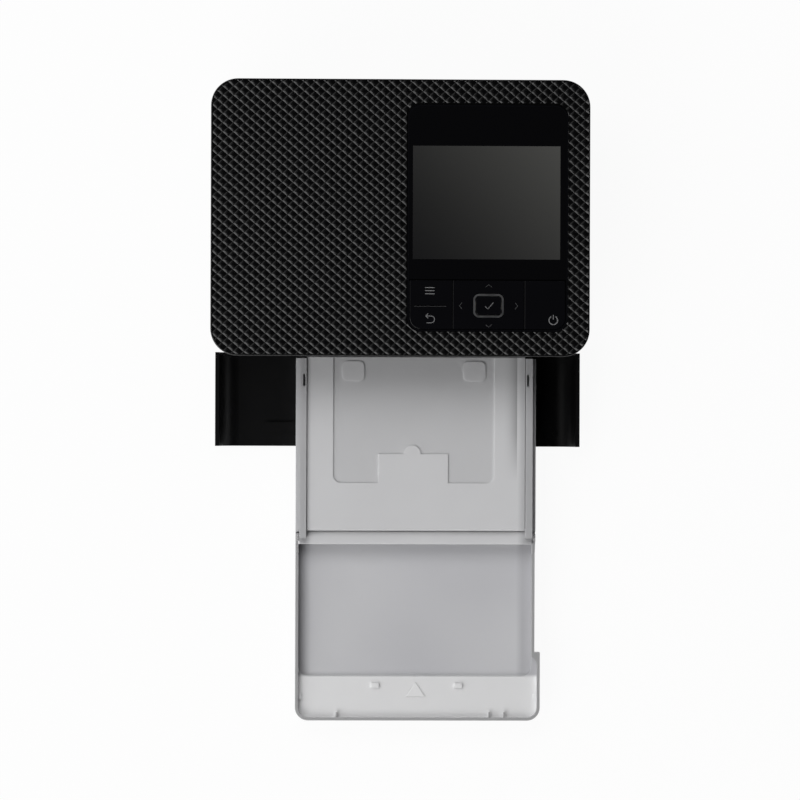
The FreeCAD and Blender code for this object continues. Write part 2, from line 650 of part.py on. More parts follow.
def rounded_plate(x0, x1, y0, y1, z0, z1, radius):
    """A plate with round corners."""
    face = Part.Face(rounded_wire(x0, x1, y0, y1, z0, radius))
    return face.extrude(Vector(0, 0, z1 - z0))


def body_plate(inset, z0, z1):
    """A plate with the body's outline, drawn in by an inset."""
    x = HALF_W - inset
    y = HALF_D - inset
    return rounded_plate(-x, x, -y, y, z0, z1, CORNER_RADIUS - inset)


def profile_x(points, x0, x1):
    """A flat outline in the YZ plane, carried along X."""
    wire = Part.makePolygon([Vector(x0, y, z) for y, z in points + points[:1]])
    return Part.Face(wire).extrude(Vector(x1 - x0, 0, 0))


def edges_at(shape, height):
    """The edges that lie wholly at one height."""
    small = RUNNING_FIT / 10
    found = []
    for edge in shape.Edges:
        box = edge.BoundBox
        if abs(box.ZMin - height) < small and abs(box.ZMax - height) < small:
            found.append(edge)
    return found


def joined(shapes):
    """Several solids made into one, with the seams taken out."""
    shapes = list(shapes)
    if len(shapes) == 1:
        return shapes[0]
    return shapes[0].fuse(shapes[1:]).removeSplitter()


def without(shape, tools):
    """A solid with several others cut from it."""
    return shape.cut(list(tools)).removeSplitter()


def plate_yz(x0, x1, y0, y1, z0, z1, radius):
    """A plate across X with round corners."""
    plate = rounded_plate(-z1, -z0, y0, y1, x0, x1, radius)
    return plate.rotated(Vector(0, 0, 0), Y_AXIS, FULL_TURN / 4)


# Body shells

def boss_places():
    """The four corners where the top cover is screwed down."""
    x = INNER_X - BOSS_EDGE_INSET
    y = INNER_Y - BOSS_EDGE_INSET
    front = BEZEL_REAR_Y + BOSS_RADIUS + SIDE_GAP
    return [(-x, front), (x, front), (-x, y), (x, y)]


def make_lower_housing():
    """The tray of the body: floor, three walls, cassette ribs, bosses and hinge ears."""
    outer = body_plate(HOUSING_INSET, FOOT_HEIGHT, SEAM_Z)
    outer = outer.makeFillet(HOUSING_EDGE_ROUND, edges_at(outer, FOOT_HEIGHT))
    inner = body_plate(HOUSING_INSET + WALL, FLOOR_TOP, SEAM_Z + CUT_OVERRUN)
    front_cut = block(-HALF_W, HALF_W, -HALF_D, WALL_FRONT_Y, 0, BODY_HEIGHT)
    shell = without(outer, [inner, front_cut])
    apron_inset = HALF_D + APRON_FRONT_Y
    apron = body_plate(apron_inset, FOOT_HEIGHT, FLOOR_TOP)
    apron = apron.common(block(-HALF_W, HALF_W, -HALF_D, WALL_FRONT_Y + WALL, 0, BODY_HEIGHT))
    parts = [shell, apron]
    for side in (-1, 1):
        parts.append(front_ear(side * FRONT_EAR_X))
        parts.append(cassette_rib(CASSETTE_CENTRE_X + side * INSERT_WIDTH / 3))
    for x, y in boss_places():
        parts.append(rod_z(FLOOR_TOP - CUT_OVERRUN, SEAM_Z, x, y, BOSS_RADIUS))
    cuts = [rod_z(FOOT_HEIGHT - CUT_OVERRUN, SEAM_Z + CUT_OVERRUN, x, y, SCREW_RADIUS + RUNNING_FIT)
            for x, y in boss_places()]
    cuts += [rod_z(0, FOOT_HEIGHT + SCREW_HEAD_HEIGHT + RUNNING_FIT, x, y,
                   SCREW_HEAD_RADIUS + SIDE_GAP) for x, y in boss_places()]
    cuts += [rod_z(0, FOOT_HEIGHT + FOOT_SEAT_DEPTH, x, y, FOOT_RADIUS + RUNNING_FIT)
             for x, y in foot_places()]
    cuts += wall_openings()
    cuts += fan_vents()
    return without(joined(parts), cuts)


def front_ear(x):
    """One ear on the floor's front edge that carries the front cover."""
    left = x - FRONT_EAR_WIDTH / 2
    right = x + FRONT_EAR_WIDTH / 2
    drum = rod_x(left, right, FRONT_HINGE_Y, FRONT_HINGE_Z, FRONT_KNUCKLE_RADIUS)
    low = FRONT_HINGE_Z - FRONT_KNUCKLE_RADIUS / 2
    neck = block(left, right, FRONT_HINGE_Y, APRON_FRONT_Y + WALL, low, FLOOR_TOP)
    bore = rod_x(left - CUT_OVERRUN, right + CUT_OVERRUN, FRONT_HINGE_Y, FRONT_HINGE_Z,
                 FRONT_PIN_RADIUS + RUNNING_FIT)
    return joined([drum, neck]).cut(bore)


def cassette_rib(x):
    """One of the two ribs that the cassette slides on."""
    top = CASSETTE_BOTTOM_Z - SEAT_GAP
    return block(x - WALL / 2, x + WALL / 2, BEZEL_REAR_Y + SIDE_GAP, CASSETTE_REAR_Y,
                 FLOOR_TOP - CUT_OVERRUN, top)


def wall_openings():
    """Openings for the ink door, rear paper slot, power inlet, card and plug sockets."""
    side_out = HALF_W + CUT_OVERRUN
    side_in = INNER_X - CUT_OVERRUN
    back_out = HALF_D + CUT_OVERRUN
    back_in = INNER_Y - CUT_OVERRUN
    door = block(side_in, side_out, DOOR_FRONT_Y, DOOR_REAR_Y, DOOR_BOTTOM_Z, BODY_HEIGHT)
    slot_half = REAR_SLOT_WIDTH / 2
    slot_low = PAPER_PLANE_Z - REAR_SLOT_HEIGHT / 2
    slot = block(CASSETTE_CENTRE_X - slot_half, CASSETTE_CENTRE_X + slot_half, back_in, back_out,
                 slot_low, slot_low + REAR_SLOT_HEIGHT)
    inlet = rod_y(back_in, back_out, JACK_CENTRE_X, JACK_CENTRE_Z, JACK_BORE_RADIUS + WALL / 2)
    card_y = card_centre_y()
    card_low = IO_BOARD_Z + BOARD_THICKNESS
    card = block(side_in, side_out, card_y - CARD_SLOT_WIDTH / 2, card_y + CARD_SLOT_WIDTH / 2,
                 card_low, card_low + CARD_SLOT_HEIGHT)
    usb = block(side_in, side_out, card_y - USB_WIDTH / 2 - SIDE_GAP,
                card_y + USB_WIDTH / 2 + SIDE_GAP,
                IO_BOARD_Z - USB_HEIGHT - SIDE_GAP, IO_BOARD_Z)
    pin = rod_y(DOOR_FRONT_Y - WALL, DOOR_REAR_Y + WALL, DOOR_HINGE_X, DOOR_HINGE_Z,
                DOOR_PIN_RADIUS + RUNNING_FIT)
    return [door, slot, inlet, card, usb, pin]


def card_centre_y():
    """The middle of the board that carries the card slot."""
    return (IO_BOARD_FRONT_Y + IO_BOARD_REAR_Y) / 2


def fan_vents():
    """Upright slots in the left wall beside the fan, and a row in the rear wall."""
    slots = []
    for index in range(VENT_COUNT):
        step = (index - (VENT_COUNT - 1) / 2) * VENT_PITCH
        low = FAN_CENTRE_Z - VENT_HEIGHT / 2
        y = FAN_CENTRE_Y + step
        slots.append(block(-HALF_W, -INNER_X + CUT_OVERRUN, y - VENT_WIDTH / 2, y + VENT_WIDTH / 2,
                           low, low + VENT_HEIGHT))
    return slots


def foot_places():
    """The four places of the feet."""
    x = HOUSE_X - FOOT_EDGE_INSET - BOSS_EDGE_INSET
    y = HOUSE_Y - FOOT_EDGE_INSET
    return [(-x, -y), (x, -y), (-x, y), (x, y)]


def make_rubber_feet():
    """Four round pads let into the floor."""
    return [rod_z(0, FOOT_HEIGHT + FOOT_SEAT_DEPTH, x, y, FOOT_RADIUS) for x, y in foot_places()]


def make_case_screws():
    """Four screws that come up from below into the top cover."""
    screws = []
    for x, y in boss_places():
        head_low = FOOT_HEIGHT + RUNNING_FIT
        head = rod_z(head_low, FOOT_HEIGHT + SCREW_HEAD_HEIGHT, x, y, SCREW_HEAD_RADIUS)
        shank = rod_z(head_low, SEAM_Z + SCREW_LENGTH / 2, x, y, SCREW_RADIUS)
        screws.append(joined([head, shank]))
    return screws


def make_top_cover():
    """The lid of the body, with the well for the control panel and four screw bosses."""
    outer = body_plate(0, SEAM_Z, BODY_HEIGHT)
    outer = outer.makeFillet(COVER_EDGE_ROUND, edges_at(outer, BODY_HEIGHT))
    under = BODY_HEIGHT - WALL
    inner = body_plate(WALL, SEAM_Z - CUT_OVERRUN, under)
    shell = outer.cut(inner)
    bosses = [rod_z(SEAM_Z, under + WALL / 2, x, y, BOSS_RADIUS) for x, y in boss_places()]
    well = rounded_plate(PANEL_LEFT_X, PANEL_RIGHT_X, PANEL_FRONT_Y, PANEL_BACK_Y,
                         SEAM_Z, BODY_HEIGHT + CUT_OVERRUN, PANEL_RADIUS)
    field = body_plate(RELIEF_BORDER, BODY_HEIGHT - RELIEF_DEPTH, BODY_HEIGHT + CUT_OVERRUN)
    cuts = [rod_z(SEAM_Z - CUT_OVERRUN, SEAM_Z + SCREW_LENGTH / 2, x, y, SCREW_RADIUS)
            for x, y in boss_places()]
    return without(joined([shell] + bosses), cuts + [well, field])


def make_front_bezel():
    """The inner front wall, with the cassette's mouth and the mouth that prints leave by."""
    side = INNER_X - SIDE_GAP
    wall = block(-side, side, BEZEL_FRONT_Y, BEZEL_REAR_Y, FLOOR_TOP, SEAM_Z - SIDE_GAP)
    gap = SEAT_GAP + SIDE_GAP
    half_exit = EXIT_WIDTH / 2
    lip = joined([
        block(CASSETTE_CENTRE_X - half_exit - WALL, CASSETTE_CENTRE_X + half_exit + WALL,
              BEZEL_FRONT_Y - MOUTH_LIP, BEZEL_REAR_Y, EXIT_TOP_Z, EXIT_TOP_Z + WALL),
        wall,
    ])
    mouth = block(INSERT_LEFT - gap, INSERT_RIGHT + gap, -HALF_D, WALL_FRONT_Y + WALL,
                  CASSETTE_BOTTOM_Z - gap, INSERT_TOP_Z + gap)
    exit_mouth = block(CASSETTE_CENTRE_X - half_exit, CASSETTE_CENTRE_X + half_exit,
                       -HALF_D, WALL_FRONT_Y + WALL, EXIT_BOTTOM_Z, EXIT_TOP_Z)
    return without(lip, [mouth, exit_mouth])


# Front cover

def make_front_cover():
    """The cover with its round ends, drawn shut and then folded down on its hinge."""
    low = FOOT_HEIGHT + FRONT_COVER_BOTTOM_GAP
    high = SEAM_Z - FRONT_COVER_TOP_GAP
    ring = body_plate(HOUSING_INSET, low, high)
    ring = ring.cut(body_plate(HOUSING_INSET + FRONT_COVER_THICKNESS, 0, BODY_HEIGHT))
    front = ring.common(block(-HALF_W, HALF_W, -HALF_D, WALL_FRONT_Y - SIDE_GAP, 0, BODY_HEIGHT))
    inner_y = FRONT_COVER_THICKNESS - HOUSE_Y
    pull_high = high - PULL_END_INSET
    pull = rounded_plate(-PULL_HALF_WIDTH, PULL_HALF_WIDTH, pull_high - PULL_DEPTH, pull_high,
                         0, PULL_HEIGHT + FRONT_COVER_THICKNESS / 2, PULL_DEPTH / 2 - SIDE_GAP)
    pull = pull.rotated(Vector(0, 0, 0), X_AXIS, FULL_TURN / 4)
    pull.translate(Vector(0, inner_y + PULL_HEIGHT, 0))
    parts = [front, pull]
    pip_z = high - COVER_PIP_EDGE_INSET
    pip_x = HOUSE_X - HOUSE_RADIUS
    parts.append(rod_y(inner_y - FRONT_COVER_THICKNESS / 2, inner_y + COVER_PIP_HEIGHT,
                       pip_x, pip_z, COVER_PIP_RADIUS))
    cuts = []
    for side in (-1, 1):
        x = side * FRONT_EAR_X
        reach = FRONT_EAR_WIDTH / 2 + SIDE_GAP
        for way in (-1, 1):
            near = x + way * reach
            far = near + way * FRONT_KNUCKLE_WIDTH
            parts.append(rod_x(min(near, far), max(near, far), FRONT_HINGE_Y, FRONT_HINGE_Z,
                               FRONT_KNUCKLE_RADIUS))
        top = FRONT_HINGE_Z + FRONT_KNUCKLE_RADIUS + SEAT_GAP
        cuts.append(block(x - reach, x + reach, -HALF_D, WALL_FRONT_Y, 0, top))
        half_pin = FRONT_PIN_LENGTH
        cuts.append(rod_x(x - half_pin, x + half_pin, FRONT_HINGE_Y, FRONT_HINGE_Z,
                          FRONT_PIN_RADIUS + RUNNING_FIT))
    shut = without(joined(parts), cuts)
    pivot = Vector(0, FRONT_HINGE_Y, FRONT_HINGE_Z)
    return shut.rotated(pivot, X_AXIS, FULL_TURN / 4)


def make_front_cover_pins():
    """Two steel pins, each through one ear and the cover's knuckles."""
    pins = []
    for side in (-1, 1):
        x = side * FRONT_EAR_X
        half = FRONT_PIN_LENGTH / 2
        pins.append(rod_x(x - half, x + half, FRONT_HINGE_Y, FRONT_HINGE_Z, FRONT_PIN_RADIUS))
    return pins


# Paper cassette

def make_cassette_tray():
    """The tray: a narrow end inside the printer and a wide end with raised side rails."""
    base = rounded_plate(CASSETTE_LEFT, CASSETTE_RIGHT, CASSETTE_FRONT_Y, CASSETTE_SHOULDER_Y,
                         CASSETTE_BOTTOM_Z, INSERT_TOP_Z, CASSETTE_CORNER_RADIUS)
    insert = block(INSERT_LEFT, INSERT_RIGHT, CASSETTE_SHOULDER_Y - CASSETTE_CORNER_RADIUS,
                   CASSETTE_REAR_Y, CASSETTE_BOTTOM_Z, INSERT_TOP_Z)
    deck_back = CASSETTE_FRONT_Y + FRONT_DECK_DEPTH
    deck = block(CASSETTE_LEFT + RAIL_STEP_INSET, CASSETTE_RIGHT - RAIL_STEP_INSET,
                 CASSETTE_FRONT_Y, deck_back, CASSETTE_BOTTOM_Z, FRONT_DECK_TOP_Z)
    parts = [base, insert, deck]
    for side in (-1, 1):
        parts.append(side_rail(side))
    half = PAPER_SPACE_WIDTH / 2
    space = block(CASSETTE_CENTRE_X - half, CASSETTE_CENTRE_X + half,
                  CASSETTE_FRONT_Y + CASSETTE_WALL, CASSETTE_REAR_Y - CASSETTE_WALL,
                  TRAY_FLOOR_Z, RAIL_TOP_Z + CUT_OVERRUN)
    deck_top = block(CASSETTE_LEFT + RAIL_WIDTH, CASSETTE_RIGHT - RAIL_WIDTH,
                     CASSETTE_FRONT_Y + CASSETTE_WALL / 2, deck_back,
                     FRONT_DECK_TOP_Z - CASSETTE_WALL, FRONT_DECK_TOP_Z)
    notch = block(CASSETTE_CENTRE_X - REAR_NOTCH_WIDTH / 2,
                  CASSETTE_CENTRE_X + REAR_NOTCH_WIDTH / 2,
                  CASSETTE_REAR_Y - CASSETTE_WALL - CUT_OVERRUN, CASSETTE_REAR_Y + CUT_OVERRUN,
                  REAR_NOTCH_Z, RAIL_TOP_Z)
    tray = joined([without(joined(parts), [space, notch]), deck_top])
    cuts = []
    for side in (-1, 1):
        cuts += rail_cuts(side)
    lift_pin_half = half + CASSETTE_WALL
    cuts.append(rod_x(CASSETTE_CENTRE_X - lift_pin_half, CASSETTE_CENTRE_X + lift_pin_half,
                      LIFT_FRONT_Y, LIFT_PIN_Z, LIFT_PIN_RADIUS + RUNNING_FIT))
    return without(tray, cuts)


def side_rail(side):
    """One raised rail beside the lids, set in above the step that the outer lid closes on."""
    outer = CASSETTE_CENTRE_X + side * (CASSETTE_WIDTH / 2 - RAIL_STEP_INSET)
    inner = CASSETTE_CENTRE_X + side * (CASSETTE_WIDTH / 2 - RAIL_WIDTH)
    edge = CASSETTE_CENTRE_X + side * CASSETTE_WIDTH / 2
    start = CASSETTE_FRONT_Y + FRONT_DECK_DEPTH / 2
    rail = block(min(outer, inner), max(outer, inner), start, CASSETTE_SHOULDER_Y,
                 CASSETTE_BOTTOM_Z, RAIL_TOP_Z)
    step = block(min(edge, inner), max(edge, inner), start, CASSETTE_SHOULDER_Y,
                 CASSETTE_BOTTOM_Z, RAIL_STEP_Z)
    paper = CASSETTE_CENTRE_X + side * PAPER_SPACE_WIDTH / 2
    ledge_low = INNER_LID_TOP_Z - INNER_LID_THICKNESS - SEAT_GAP - LEDGE_THICKNESS
    ledge_edge = inner - side * LEDGE_WIDTH
    ledge = block(min(paper, ledge_edge, inner), max(paper, ledge_edge, inner),
                  INNER_PIVOT_Y + OUTER_ARM_RADIUS * 2, CASSETTE_SHOULDER_Y,
                  ledge_low, ledge_low + LEDGE_THICKNESS)
    return joined([rail, step, ledge])


def rail_cuts(side):
    """What is cut from one side of the tray: the hinge arm's room, the pivots, the slot."""
    edge = CASSETTE_CENTRE_X + side * (CASSETTE_WIDTH / 2 + CUT_OVERRUN)
    face = CASSETTE_CENTRE_X + side * (CASSETTE_WIDTH / 2 - RAIL_STEP_INSET)
    front = CASSETTE_FRONT_Y - CUT_OVERRUN
    above = OUTER_PIVOT_Y + OUTER_ARM_RADIUS * 3 / 2
    arm_room = profile_x([
        (front, 0),
        (front, BODY_HEIGHT),
        (above, BODY_HEIGHT),
        (above, OUTER_PIVOT_Z + OUTER_ARM_GAP),
        (OUTER_PIVOT_Y + OUTER_ARM_RADIUS + OUTER_ARM_GAP, OUTER_PIVOT_Z),
        (OUTER_LID_START_Y + OUTER_LID_START_GAP, CASSETTE_BOTTOM_Z),
        (OUTER_LID_START_Y + OUTER_LID_START_GAP, 0),
    ], min(edge, face), max(edge, face))
    arm_room = arm_room.fuse(rod_x(min(edge, face), max(edge, face), OUTER_PIVOT_Y,
                                   OUTER_PIVOT_Z, OUTER_ARM_RADIUS + OUTER_ARM_GAP))
    inner = CASSETTE_CENTRE_X + side * (CASSETTE_WIDTH / 2 - RAIL_WIDTH)
    outer_pin = rod_x(min(edge, face - side * OUTER_PIN_LENGTH),
                      max(edge, face - side * OUTER_PIN_LENGTH),
                      OUTER_PIVOT_Y, OUTER_PIVOT_Z, OUTER_PIN_RADIUS + RUNNING_FIT)
    inner_far = inner + side * OUTER_PIN_LENGTH
    inner_near = inner - side * CUT_OVERRUN
    inner_pin = rod_x(min(inner_near, inner_far), max(inner_near, inner_far),
                      INNER_PIVOT_Y, INNER_PIVOT_Z, INNER_PIN_RADIUS + RUNNING_FIT)
    under = RAIL_TOP_Z - CASSETTE_WALL
    slot_x = inner + side * RAIL_SLOT_INSET
    slot = block(slot_x - RAIL_SLOT_WIDTH / 2, slot_x + RAIL_SLOT_WIDTH / 2,
                 RAIL_SLOT_BACK_Y - RAIL_SLOT_LENGTH, RAIL_SLOT_BACK_Y,
                 under - RAIL_SLOT_DEPTH, RAIL_TOP_Z + CUT_OVERRUN)
    hollow_out = CASSETTE_CENTRE_X + side * (CASSETTE_WIDTH / 2 - RAIL_STEP_INSET - CASSETTE_WALL)
    paper = CASSETTE_CENTRE_X + side * (PAPER_SPACE_WIDTH / 2 + CASSETTE_WALL)
    hollow = block(min(hollow_out, paper), max(hollow_out, paper),
                   INNER_PIVOT_Y + OUTER_ARM_RADIUS * 2,
                   CASSETTE_SHOULDER_Y - CASSETTE_WALL, 0, INSERT_TOP_Z - CASSETTE_WALL)
    return [arm_room, outer_pin, inner_pin, slot, hollow]


def make_lift_plate():
    """The plate under the paper that the printer raises to its pick roller."""
    plate_top = LIFT_PIN_Z + LIFT_THICKNESS / 2
    plate = block(LIFT_LEFT, LIFT_RIGHT, LIFT_FRONT_Y, LIFT_REAR_Y,
                  plate_top - LIFT_THICKNESS, plate_top)
    hinge = rod_x(LIFT_LEFT, LIFT_RIGHT, LIFT_FRONT_Y, LIFT_PIN_Z, LIFT_PIN_RADIUS)
    reach = PAPER_SPACE_WIDTH / 2 + CASSETTE_WALL - RUNNING_FIT
    pins = rod_x(CASSETTE_CENTRE_X - reach, CASSETTE_CENTRE_X + reach, LIFT_FRONT_Y,
                 LIFT_PIN_Z, LIFT_PIN_RADIUS)
    windows = []
    for side in (-1, 1):
        x = CASSETTE_CENTRE_X + side * PICK_TYRE_SPACING / 2
        windows.append(rounded_plate(x - LIFT_WINDOW_WIDTH / 2, x + LIFT_WINDOW_WIDTH / 2,
                                     LIFT_FRONT_Y + LIFT_WINDOW_WIDTH / 2,
                                     LIFT_FRONT_Y + LIFT_WINDOW_WIDTH / 2 + LIFT_WINDOW_LENGTH,
                                     0, BODY_HEIGHT, PICK_RADIUS - CUT_OVERRUN))
    return without(joined([plate, hinge, pins]), windows)


def make_inner_lid():
    """The lid that prints land on, with its shallow recess and two thumb tabs."""
    left = RAIL_INNER_LEFT + SEAT_GAP
    right = RAIL_INNER_RIGHT - SEAT_GAP
    under = INNER_LID_TOP_Z - INNER_LID_THICKNESS
    plate = block(left, right, INNER_PIVOT_Y, INNER_LID_REAR_Y, under, INNER_LID_TOP_Z)
    nose = rod_x(left, right, INNER_PIVOT_Y, INNER_PIVOT_Z, INNER_LID_TOP_Z - INNER_PIVOT_Z)
    reach = OUTER_PIN_LENGTH - SEAT_GAP
    pin = rod_x(RAIL_INNER_LEFT - reach, RAIL_INNER_RIGHT + reach, INNER_PIVOT_Y,
                INNER_PIVOT_Z, INNER_PIN_RADIUS)
    lid = joined([plate, nose, pin])
    x = CASSETTE_CENTRE_X + INNER_RECESS_SHIFT_X
    low = INNER_LID_TOP_Z - INNER_RECESS_DEPTH
    high = INNER_LID_TOP_Z + CUT_OVERRUN
    recess_front = INNER_LID_REAR_Y - INNER_RECESS_LENGTH
    recess = rounded_plate(x - INNER_RECESS_WIDTH / 2, x + INNER_RECESS_WIDTH / 2, recess_front,
                           INNER_LID_REAR_Y + INNER_RECESS_RADIUS, low, high,
                           INNER_RECESS_RADIUS)
    tongue_x = CASSETTE_CENTRE_X + INNER_TONGUE_SHIFT_X
    tongue_back = recess_front + INNER_TONGUE_LENGTH
    tongue = block(tongue_x - INNER_TONGUE_WIDTH / 2, tongue_x + INNER_TONGUE_WIDTH / 2,
                   recess_front - CUT_OVERRUN, tongue_back, low, high)
    bump = rod_z(low, high, CASSETTE_CENTRE_X + INNER_BUMP_SHIFT_X, tongue_back,
                 INNER_BUMP_RADIUS)
    recess = without(recess, [tongue, bump])
    lid = lid.cut(recess)
    tabs = []
    for side in (-1, 1):
        tab_x = x + side * INNER_TAB_SPACING / 2
        back = INNER_LID_REAR_Y - INNER_TAB_SET_BACK
        tabs.append(rounded_plate(tab_x - INNER_TAB_WIDTH / 2, tab_x + INNER_TAB_WIDTH / 2,
                                  back - INNER_TAB_LENGTH, back, low,
                                  low + INNER_TAB_HEIGHT, INNER_TAB_WIDTH / 4))
    return joined([lid] + tabs)


def make_outer_lid():
    """The outer lid, folded flat in front: a sunk panel, a raised end strip and side skirts."""
    z0 = CASSETTE_BOTTOM_Z
    flare_start = OUTER_LID_END_Y + GRIP_FLARE_LENGTH
    outline = rounded_plate(CASSETTE_LEFT, CASSETTE_RIGHT, OUTER_LID_END_Y,
                            OUTER_LID_START_Y + LID_END_RADIUS, z0, SKIRT_TOP_Z,
                            LID_END_RADIUS)
    flare_right = CASSETTE_RIGHT + GRIP_FLARE
    flare = rounded_plate(CASSETTE_RIGHT - GRIP_FLARE_LENGTH / 2, flare_right, OUTER_LID_END_Y,
                          flare_start, z0, SKIRT_TOP_Z, LID_END_RADIUS)
    shoulder = block(CASSETTE_RIGHT - LID_END_RADIUS, flare_right,
                     flare_start - LID_END_RADIUS, flare_start, z0, SKIRT_TOP_Z)
    body = joined([outline, flare, shoulder])
    body = body.cut(block(CASSETTE_LEFT - CUT_OVERRUN, flare_right + CUT_OVERRUN,
                          OUTER_LID_START_Y, CASSETTE_SHOULDER_Y, 0, BODY_HEIGHT))
    skirt = OUTER_SKIRT_THICKNESS
    floor_top = z0 + OUTER_LID_THICKNESS
    strip_back = OUTER_LID_END_Y + skirt + STRIP_LENGTH
    room = rounded_plate(CASSETTE_LEFT + skirt, CASSETTE_RIGHT - skirt, strip_back,
                         CASSETTE_SHOULDER_Y, floor_top, BODY_HEIGHT, LID_END_RADIUS - skirt)
    strip_top = floor_top + STRIP_RAISE
    strip_room = rounded_plate(CASSETTE_LEFT + skirt, CASSETTE_RIGHT - skirt,
                               OUTER_LID_END_Y + skirt, strip_back + LID_END_RADIUS,
                               strip_top, BODY_HEIGHT, LID_END_RADIUS - skirt)
    flare_room = rounded_plate(CASSETTE_RIGHT - GRIP_FLARE_LENGTH / 2, flare_right - skirt,
                               OUTER_LID_END_Y + skirt, flare_start - skirt, strip_top,
                               BODY_HEIGHT, LID_END_RADIUS - skirt)
    under = block(CASSETTE_LEFT + skirt, CASSETTE_RIGHT - skirt, OUTER_LID_END_Y + skirt,
                  strip_back - skirt, 0, z0 + STRIP_RAISE)
    body = without(body, [room, strip_room, flare_room, under])
    parts = [body]
    for side in (-1, 1):
        parts.append(lid_arm(side))
        x = CASSETTE_CENTRE_X + LATCH_BUMP_SHIFT_X + side * LATCH_BUMP_SPACING / 2
        y = OUTER_LID_END_Y + LATCH_BUMP_FROM_END
        parts.append(block(x - LATCH_BUMP_LENGTH / 2, x + LATCH_BUMP_LENGTH / 2,
                           y - LATCH_BUMP_DEPTH / 2, y + LATCH_BUMP_DEPTH / 2,
                           strip_top - STRIP_RAISE / 2, strip_top + LATCH_BUMP_HEIGHT))
    y = OUTER_LID_END_Y + CATCH_FROM_END
    for face, way in ((CASSETTE_LEFT + skirt / 2, 1), (flare_right - skirt / 2, -1)):
        far = face + way * (skirt / 2 + CATCH_DEPTH)
        parts.append(block(min(face, far), max(face, far), y - CATCH_LENGTH / 2,
                           y + CATCH_LENGTH / 2, strip_top, SKIRT_TOP_Z - skirt))
    for share in END_RIB_SHARES:
        x = CASSETTE_LEFT + share * CASSETTE_WIDTH
        parts.append(block(x - END_RIB_WIDTH / 2, x + END_RIB_WIDTH / 2,
                           OUTER_LID_END_Y + skirt / 2, OUTER_LID_END_Y + skirt + END_RIB_LENGTH,
                           strip_top - STRIP_RAISE / 2, SKIRT_TOP_Z - skirt / 2))
    return joined(parts)


def lid_arm(side):
    """One hinge arm of the outer lid, from its skirt up to the pivot pin."""
    edge = CASSETTE_CENTRE_X + side * CASSETTE_WIDTH / 2
    inner = edge - side * OUTER_SKIRT_THICKNESS
    x0 = min(edge, inner)
    x1 = max(edge, inner)
    drum = rod_x(x0, x1, OUTER_PIVOT_Y, OUTER_PIVOT_Z, OUTER_ARM_RADIUS)
    foot_y = OUTER_LID_START_Y - OUTER_ARM_RADIUS * 2
    web = profile_x([
        (OUTER_PIVOT_Y + OUTER_ARM_RADIUS, OUTER_PIVOT_Z),
        (OUTER_PIVOT_Y, OUTER_PIVOT_Z + OUTER_ARM_RADIUS),
        (foot_y, SKIRT_TOP_Z),
        (foot_y, CASSETTE_BOTTOM_Z),
        (OUTER_LID_START_Y, CASSETTE_BOTTOM_Z),
    ], x0, x1)
    face = CASSETTE_CENTRE_X + side * (CASSETTE_WIDTH / 2 - RAIL_STEP_INSET)
    tip = face - side * (OUTER_PIN_LENGTH - SEAT_GAP)
    pin = rod_x(min(edge, tip), max(edge, tip), OUTER_PIVOT_Y, OUTER_PIVOT_Z, OUTER_PIN_RADIUS)
    return joined([drum, web, pin])


# Chassis

def shaft_places():
    """Every roller shaft, as its place along Y and its height."""
    return [
        (EJECT_Y, EJECT_Z),
        (EJECT_Y, PINCH_Z),
        (PICK_Y, PICK_Z),
        (PLATEN_Y, PLATEN_Z),
        (CAPSTAN_Y, CAPSTAN_Z),
        (CAPSTAN_Y, PINCH_Z),
    ]


def side_plate(x0, x1):
    """One upright chassis plate with its shaft holes."""
    plate = plate_yz(x0, x1, PLATE_FRONT_Y, PLATE_REAR_Y, FLOOR_TOP, PLATE_TOP_Z,
                     PLATE_CORNER_RADIUS)
    holes = [rod_x(x0 - CUT_OVERRUN, x1 + CUT_OVERRUN, y, z, BUSH_RADIUS + RUNNING_FIT)
             for y, z in shaft_places()]
    return without(plate, holes)


def plate_tabs(x, way):
    """Three feet bent out from the bottom of a plate."""
    tabs = []
    for y in (PLATE_FRONT_Y + PLATE_TAB_LENGTH, 0, PLATE_REAR_Y - PLATE_TAB_LENGTH * 2):
        far = x + way * PLATE_TAB_WIDTH
        tabs.append(block(min(x, far), max(x, far), y, y + PLATE_TAB_LENGTH, FLOOR_TOP,
                          FLOOR_TOP + PLATE_THICKNESS))
    return tabs


def make_left_side_plate():
    """The left plate: shaft holes, the head's slot, the spindle's hole, cartridge ledges."""
    x1 = LEFT_PLATE_X
    x0 = x1 - PLATE_THICKNESS
    parts = [side_plate(x0, x1)]
    for y in (SUPPLY_Y, TAKEUP_Y):
        parts.append(block(x0, INSERT_LEFT + SIDE_GAP, y - TUBE_RADIUS, y + TUBE_RADIUS,
                           RAIL_Z - PLATE_THICKNESS, RAIL_Z))
    slot_half = FOLLOWER_RADIUS + FOLLOWER_SLOT_GAP
    slot_low = FOLLOWER_Z - HEAD_TRAVEL - slot_half
    slot = block(x0 - CUT_OVERRUN, x1 + CUT_OVERRUN, PLATEN_Y - slot_half, PLATEN_Y + slot_half,
                 slot_low, FOLLOWER_Z + slot_half)
    cam_hole = rod_x(x0 - CUT_OVERRUN, x1 + CUT_OVERRUN, PLATEN_Y, CAM_Z,
                     SHAFT_RADIUS + RUNNING_FIT)
    spindle = rod_x(x0 - CUT_OVERRUN, x1 + CUT_OVERRUN, TAKEUP_Y, TUBE_Z,
                    BUSH_RADIUS + RUNNING_FIT)
    post_holes = [rod_x(x0 - CUT_OVERRUN, x1 + CUT_OVERRUN, y, z, POST_RADIUS + RUNNING_FIT)
                  for y, z in idler_places()]
    plate = without(joined(parts), [slot, cam_hole, spindle] + post_holes)
    return plate


